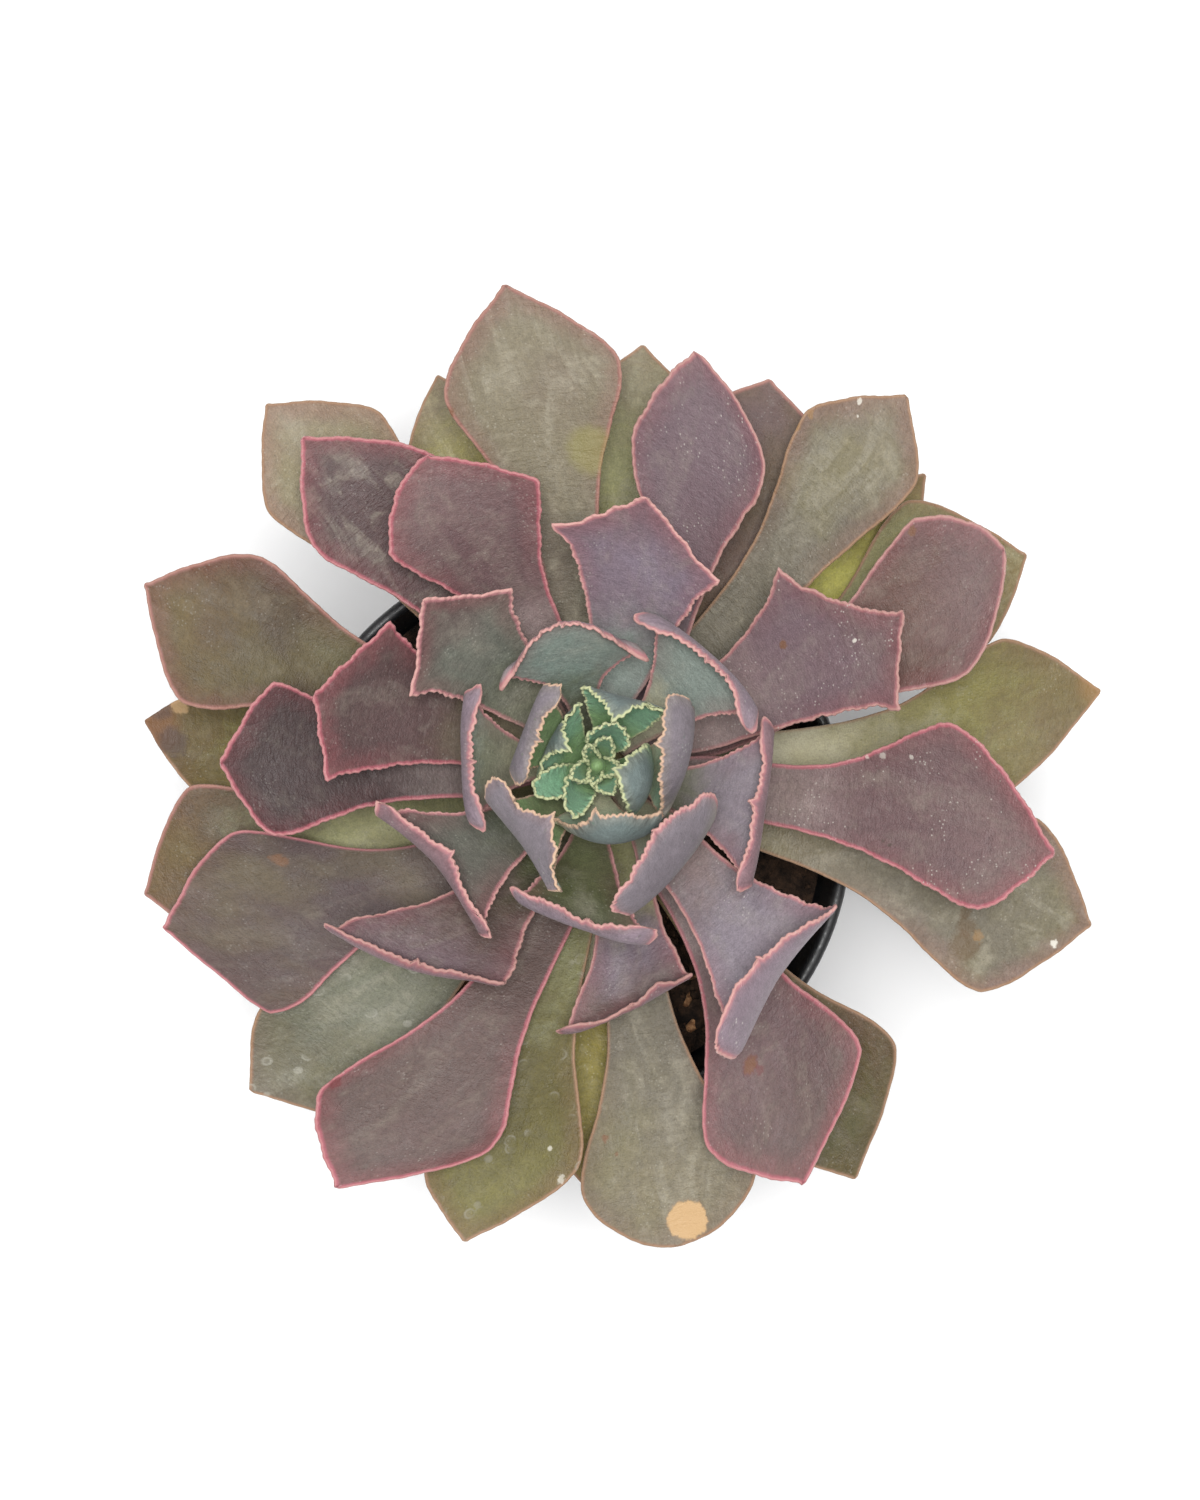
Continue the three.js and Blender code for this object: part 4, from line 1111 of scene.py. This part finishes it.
def crumble(x, y, draw):
    """Small rounded heaps and hollows all over the soil, from 2 to 6 mm across."""
    total = np.zeros_like(x)
    for _ in range(HEAPS):
        length = draw.uniform(2, 6)
        turn = draw.uniform(0, 2 * math.pi)
        phase = draw.uniform(0, 2 * math.pi)
        total += np.sin((x * math.cos(turn) + y * math.sin(turn)) * 2 * math.pi / length + phase)
    return total / math.sqrt(HEAPS)


def make_soil(material):
    draw = np.random.default_rng(71)
    wall = pot_radius(SOIL_TOP) + 0.4 - POT_WALL
    rings = [circle((0, 0), r, z, SOIL_SIDES) for r, z in ((34.8, 2.4), (36.6, 3.2))]
    for z in (20, 40, 60, POT_BAND_START - 1.5):
        rings.append(circle((0, 0), pot_radius(z) - POT_WALL - 0.4, z, SOIL_SIDES))
    for share in np.linspace(1, 0, SOIL_RINGS):
        radius = SOIL_HOLE_RADIUS + (wall - SOIL_HOLE_RADIUS) * share
        ring = circle(np.array(PLANT_AXIS) * (1 - share), radius, 0.0, SOIL_SIDES)
        x, y = ring[:, 0], ring[:, 1]
        loose = min(share / 0.1, 1) * (0.35 if share > 0.985 else 1)
        ring[:, 2] = soil_height(x, y) + 0.38 * loose * crumble(x, y, np.random.default_rng(72))
        rings.append(ring)
    rings.append(circle(PLANT_AXIS, SOIL_HOLE_RADIUS, 60.0, SOIL_SIDES))
    shape = Shape()
    shape.add(*tube(rings))
    piece = shape.build("potting_soil", material)
    piece.data.set_sharp_from_angle(angle=math.radians(70))
    settle(piece, ["soil"])

    crumbs, chips = Shape(), Shape()
    for index in range(CRUMBS):
        turn, reach = draw.uniform(0, 2 * math.pi), math.sqrt(draw.uniform(0.02, 0.96))
        x, y = wall * reach * math.cos(turn), wall * reach * math.sin(turn)
        if math.hypot(x - PLANT_AXIS[0], y - PLANT_AXIS[1]) < SOIL_HOLE_RADIUS + 2:
            continue
        size = draw.uniform(0.35, 1.1)
        is_chip = index % 7 == 0
        lengths = [size * draw.uniform(0.8, 1.3), size, size * draw.uniform(0.5, 0.9)]
        if is_chip:
            lengths = [draw.uniform(1.4, 3.4), draw.uniform(0.5, 1.1), draw.uniform(0.25, 0.5)]
        add_crumb(chips if is_chip else crumbs, (x, y), lengths, draw)
    brown = crumb_material("bark_chips", colour(96, 66, 44), colour(146, 110, 78))
    dark = crumb_material("peat_crumbs", colour(24, 18, 15), colour(62, 45, 33))
    settle(crumbs.build("peat_crumbs", dark), [])
    settle(chips.build("bark_chips", brown), [])


def add_crumb(shape, place, lengths, draw):
    """One uneven crumb, half sunk in the soil."""
    tilts = (-math.pi / 4, 0, math.pi / 4)
    rings = [circle((0, 0), math.cos(tilt), math.sin(tilt), CRUMB_SIDES) for tilt in tilts]
    points, faces = ball(rings, -1.0, 1.0)
    points = points * draw.uniform(0.75, 1.2, (len(points), 1)) * lengths
    spin, nod = draw.uniform(0, 2 * math.pi), draw.uniform(-0.35, 0.35)
    c, s = math.cos(nod), math.sin(nod)
    points = points @ np.array([[c, 0, s], [0, 1, 0], [-s, 0, c]]).T
    c, s = math.cos(spin), math.sin(spin)
    points = points @ np.array([[c, -s, 0], [s, c, 0], [0, 0, 1]]).T
    height = float(soil_height(*place)) + lengths[2] * 0.25
    shape.add(points + np.array([*place, height]), faces)


STEM_OUTLINE = ((60, 5.8), (70, 6.4), (90.6, 6.4), (109.5, 5.4), (118.9, 4.0), (119.4, 3.4))
STEM_SIDES = 72
STEM_RINGS = 150


def make_stem(material):
    """The stem, with low ridges that wind round it where old leaves were."""
    angles = around(STEM_SIDES)
    rings = []
    for z in np.linspace(STEM_OUTLINE[0][0], STEM_OUTLINE[-1][0], STEM_RINGS):
        scars = np.sin(angles * 5 + z * 1.3) * np.sin(angles * 3 - z * 1.9)
        radius = between(STEM_OUTLINE, z) + 0.22 * scars * (1 if 62 < z < 117 else 0) - 0.1
        rings.append(circle(PLANT_AXIS, radius, z, STEM_SIDES))
    shape = Shape()
    shape.add(*tube(rings))
    settle(shape.build("stem_core", material), ["stem"])


def add_light(name, place, size, power):
    light = bpy.data.lights.new(name, "AREA")
    light.shape = "DISK"
    light.size = size
    light.energy = power
    lamp = add_object(name, light)
    lamp.location = place
    x, y, z = np.array(LIGHT_TARGET) - place
    lamp.rotation_euler = (math.atan2(math.hypot(x, y), -z), 0, math.atan2(x, -y))


def make_studio():
    mesh = bpy.data.meshes.new("floor")
    near, far = -FLOOR_REACH, FLOOR_REACH
    corners = [(x, y, FLOOR_HEIGHT) for x, y in ((near, near), (far, near), (far, far), (near, far))]
    mesh.from_pydata(corners, [], [(0, 1, 2, 3)])
    mesh.materials.append(floor_material())
    add_object("floor", mesh)

    world = bpy.data.worlds.new("studio")
    world.use_nodes = True
    background = world.node_tree.nodes["Background"].inputs
    background["Color"].default_value = (1, 1, 1, 1)
    background["Strength"].default_value = WORLD_STRENGTH
    bpy.context.scene.world = world
    for row in LIGHTS:
        add_light(*row)

    lens = bpy.data.cameras.new("photo_camera")
    lens.sensor_fit = "VERTICAL"
    lens.sensor_height = 36
    lens.lens = FOCAL_PIXELS * lens.sensor_height / PICTURE_HEIGHT
    lens.clip_start, lens.clip_end = 0.01, 20
    camera = add_object("photo_camera", lens)
    camera.location = [v * MM for v in CAMERA_PLACE]
    bpy.context.scene.camera = camera
    bpy.context.scene.view_settings.view_transform = "Standard"


# The studio, in metres. Each light is (name, place, size, power).
FLOOR_REACH = 4.0
FLOOR_HEIGHT = -0.0004
WORLD_STRENGTH = 0.42
LIGHT_TARGET = (0, 0, 0.1)
LIGHTS = (
    ("top", (0.05, 0.15, 4.8), 1.8, 230),
    ("key", (-1.6, 2.0, 4.0), 2.0, 90),
    ("fill", (2.0, -1.6, 3.6), 2.4, 40),
)

make_leaves()
make_heart()
make_pot(pot_material())
make_soil(soil_material())
make_stem(stem_material())
make_studio()
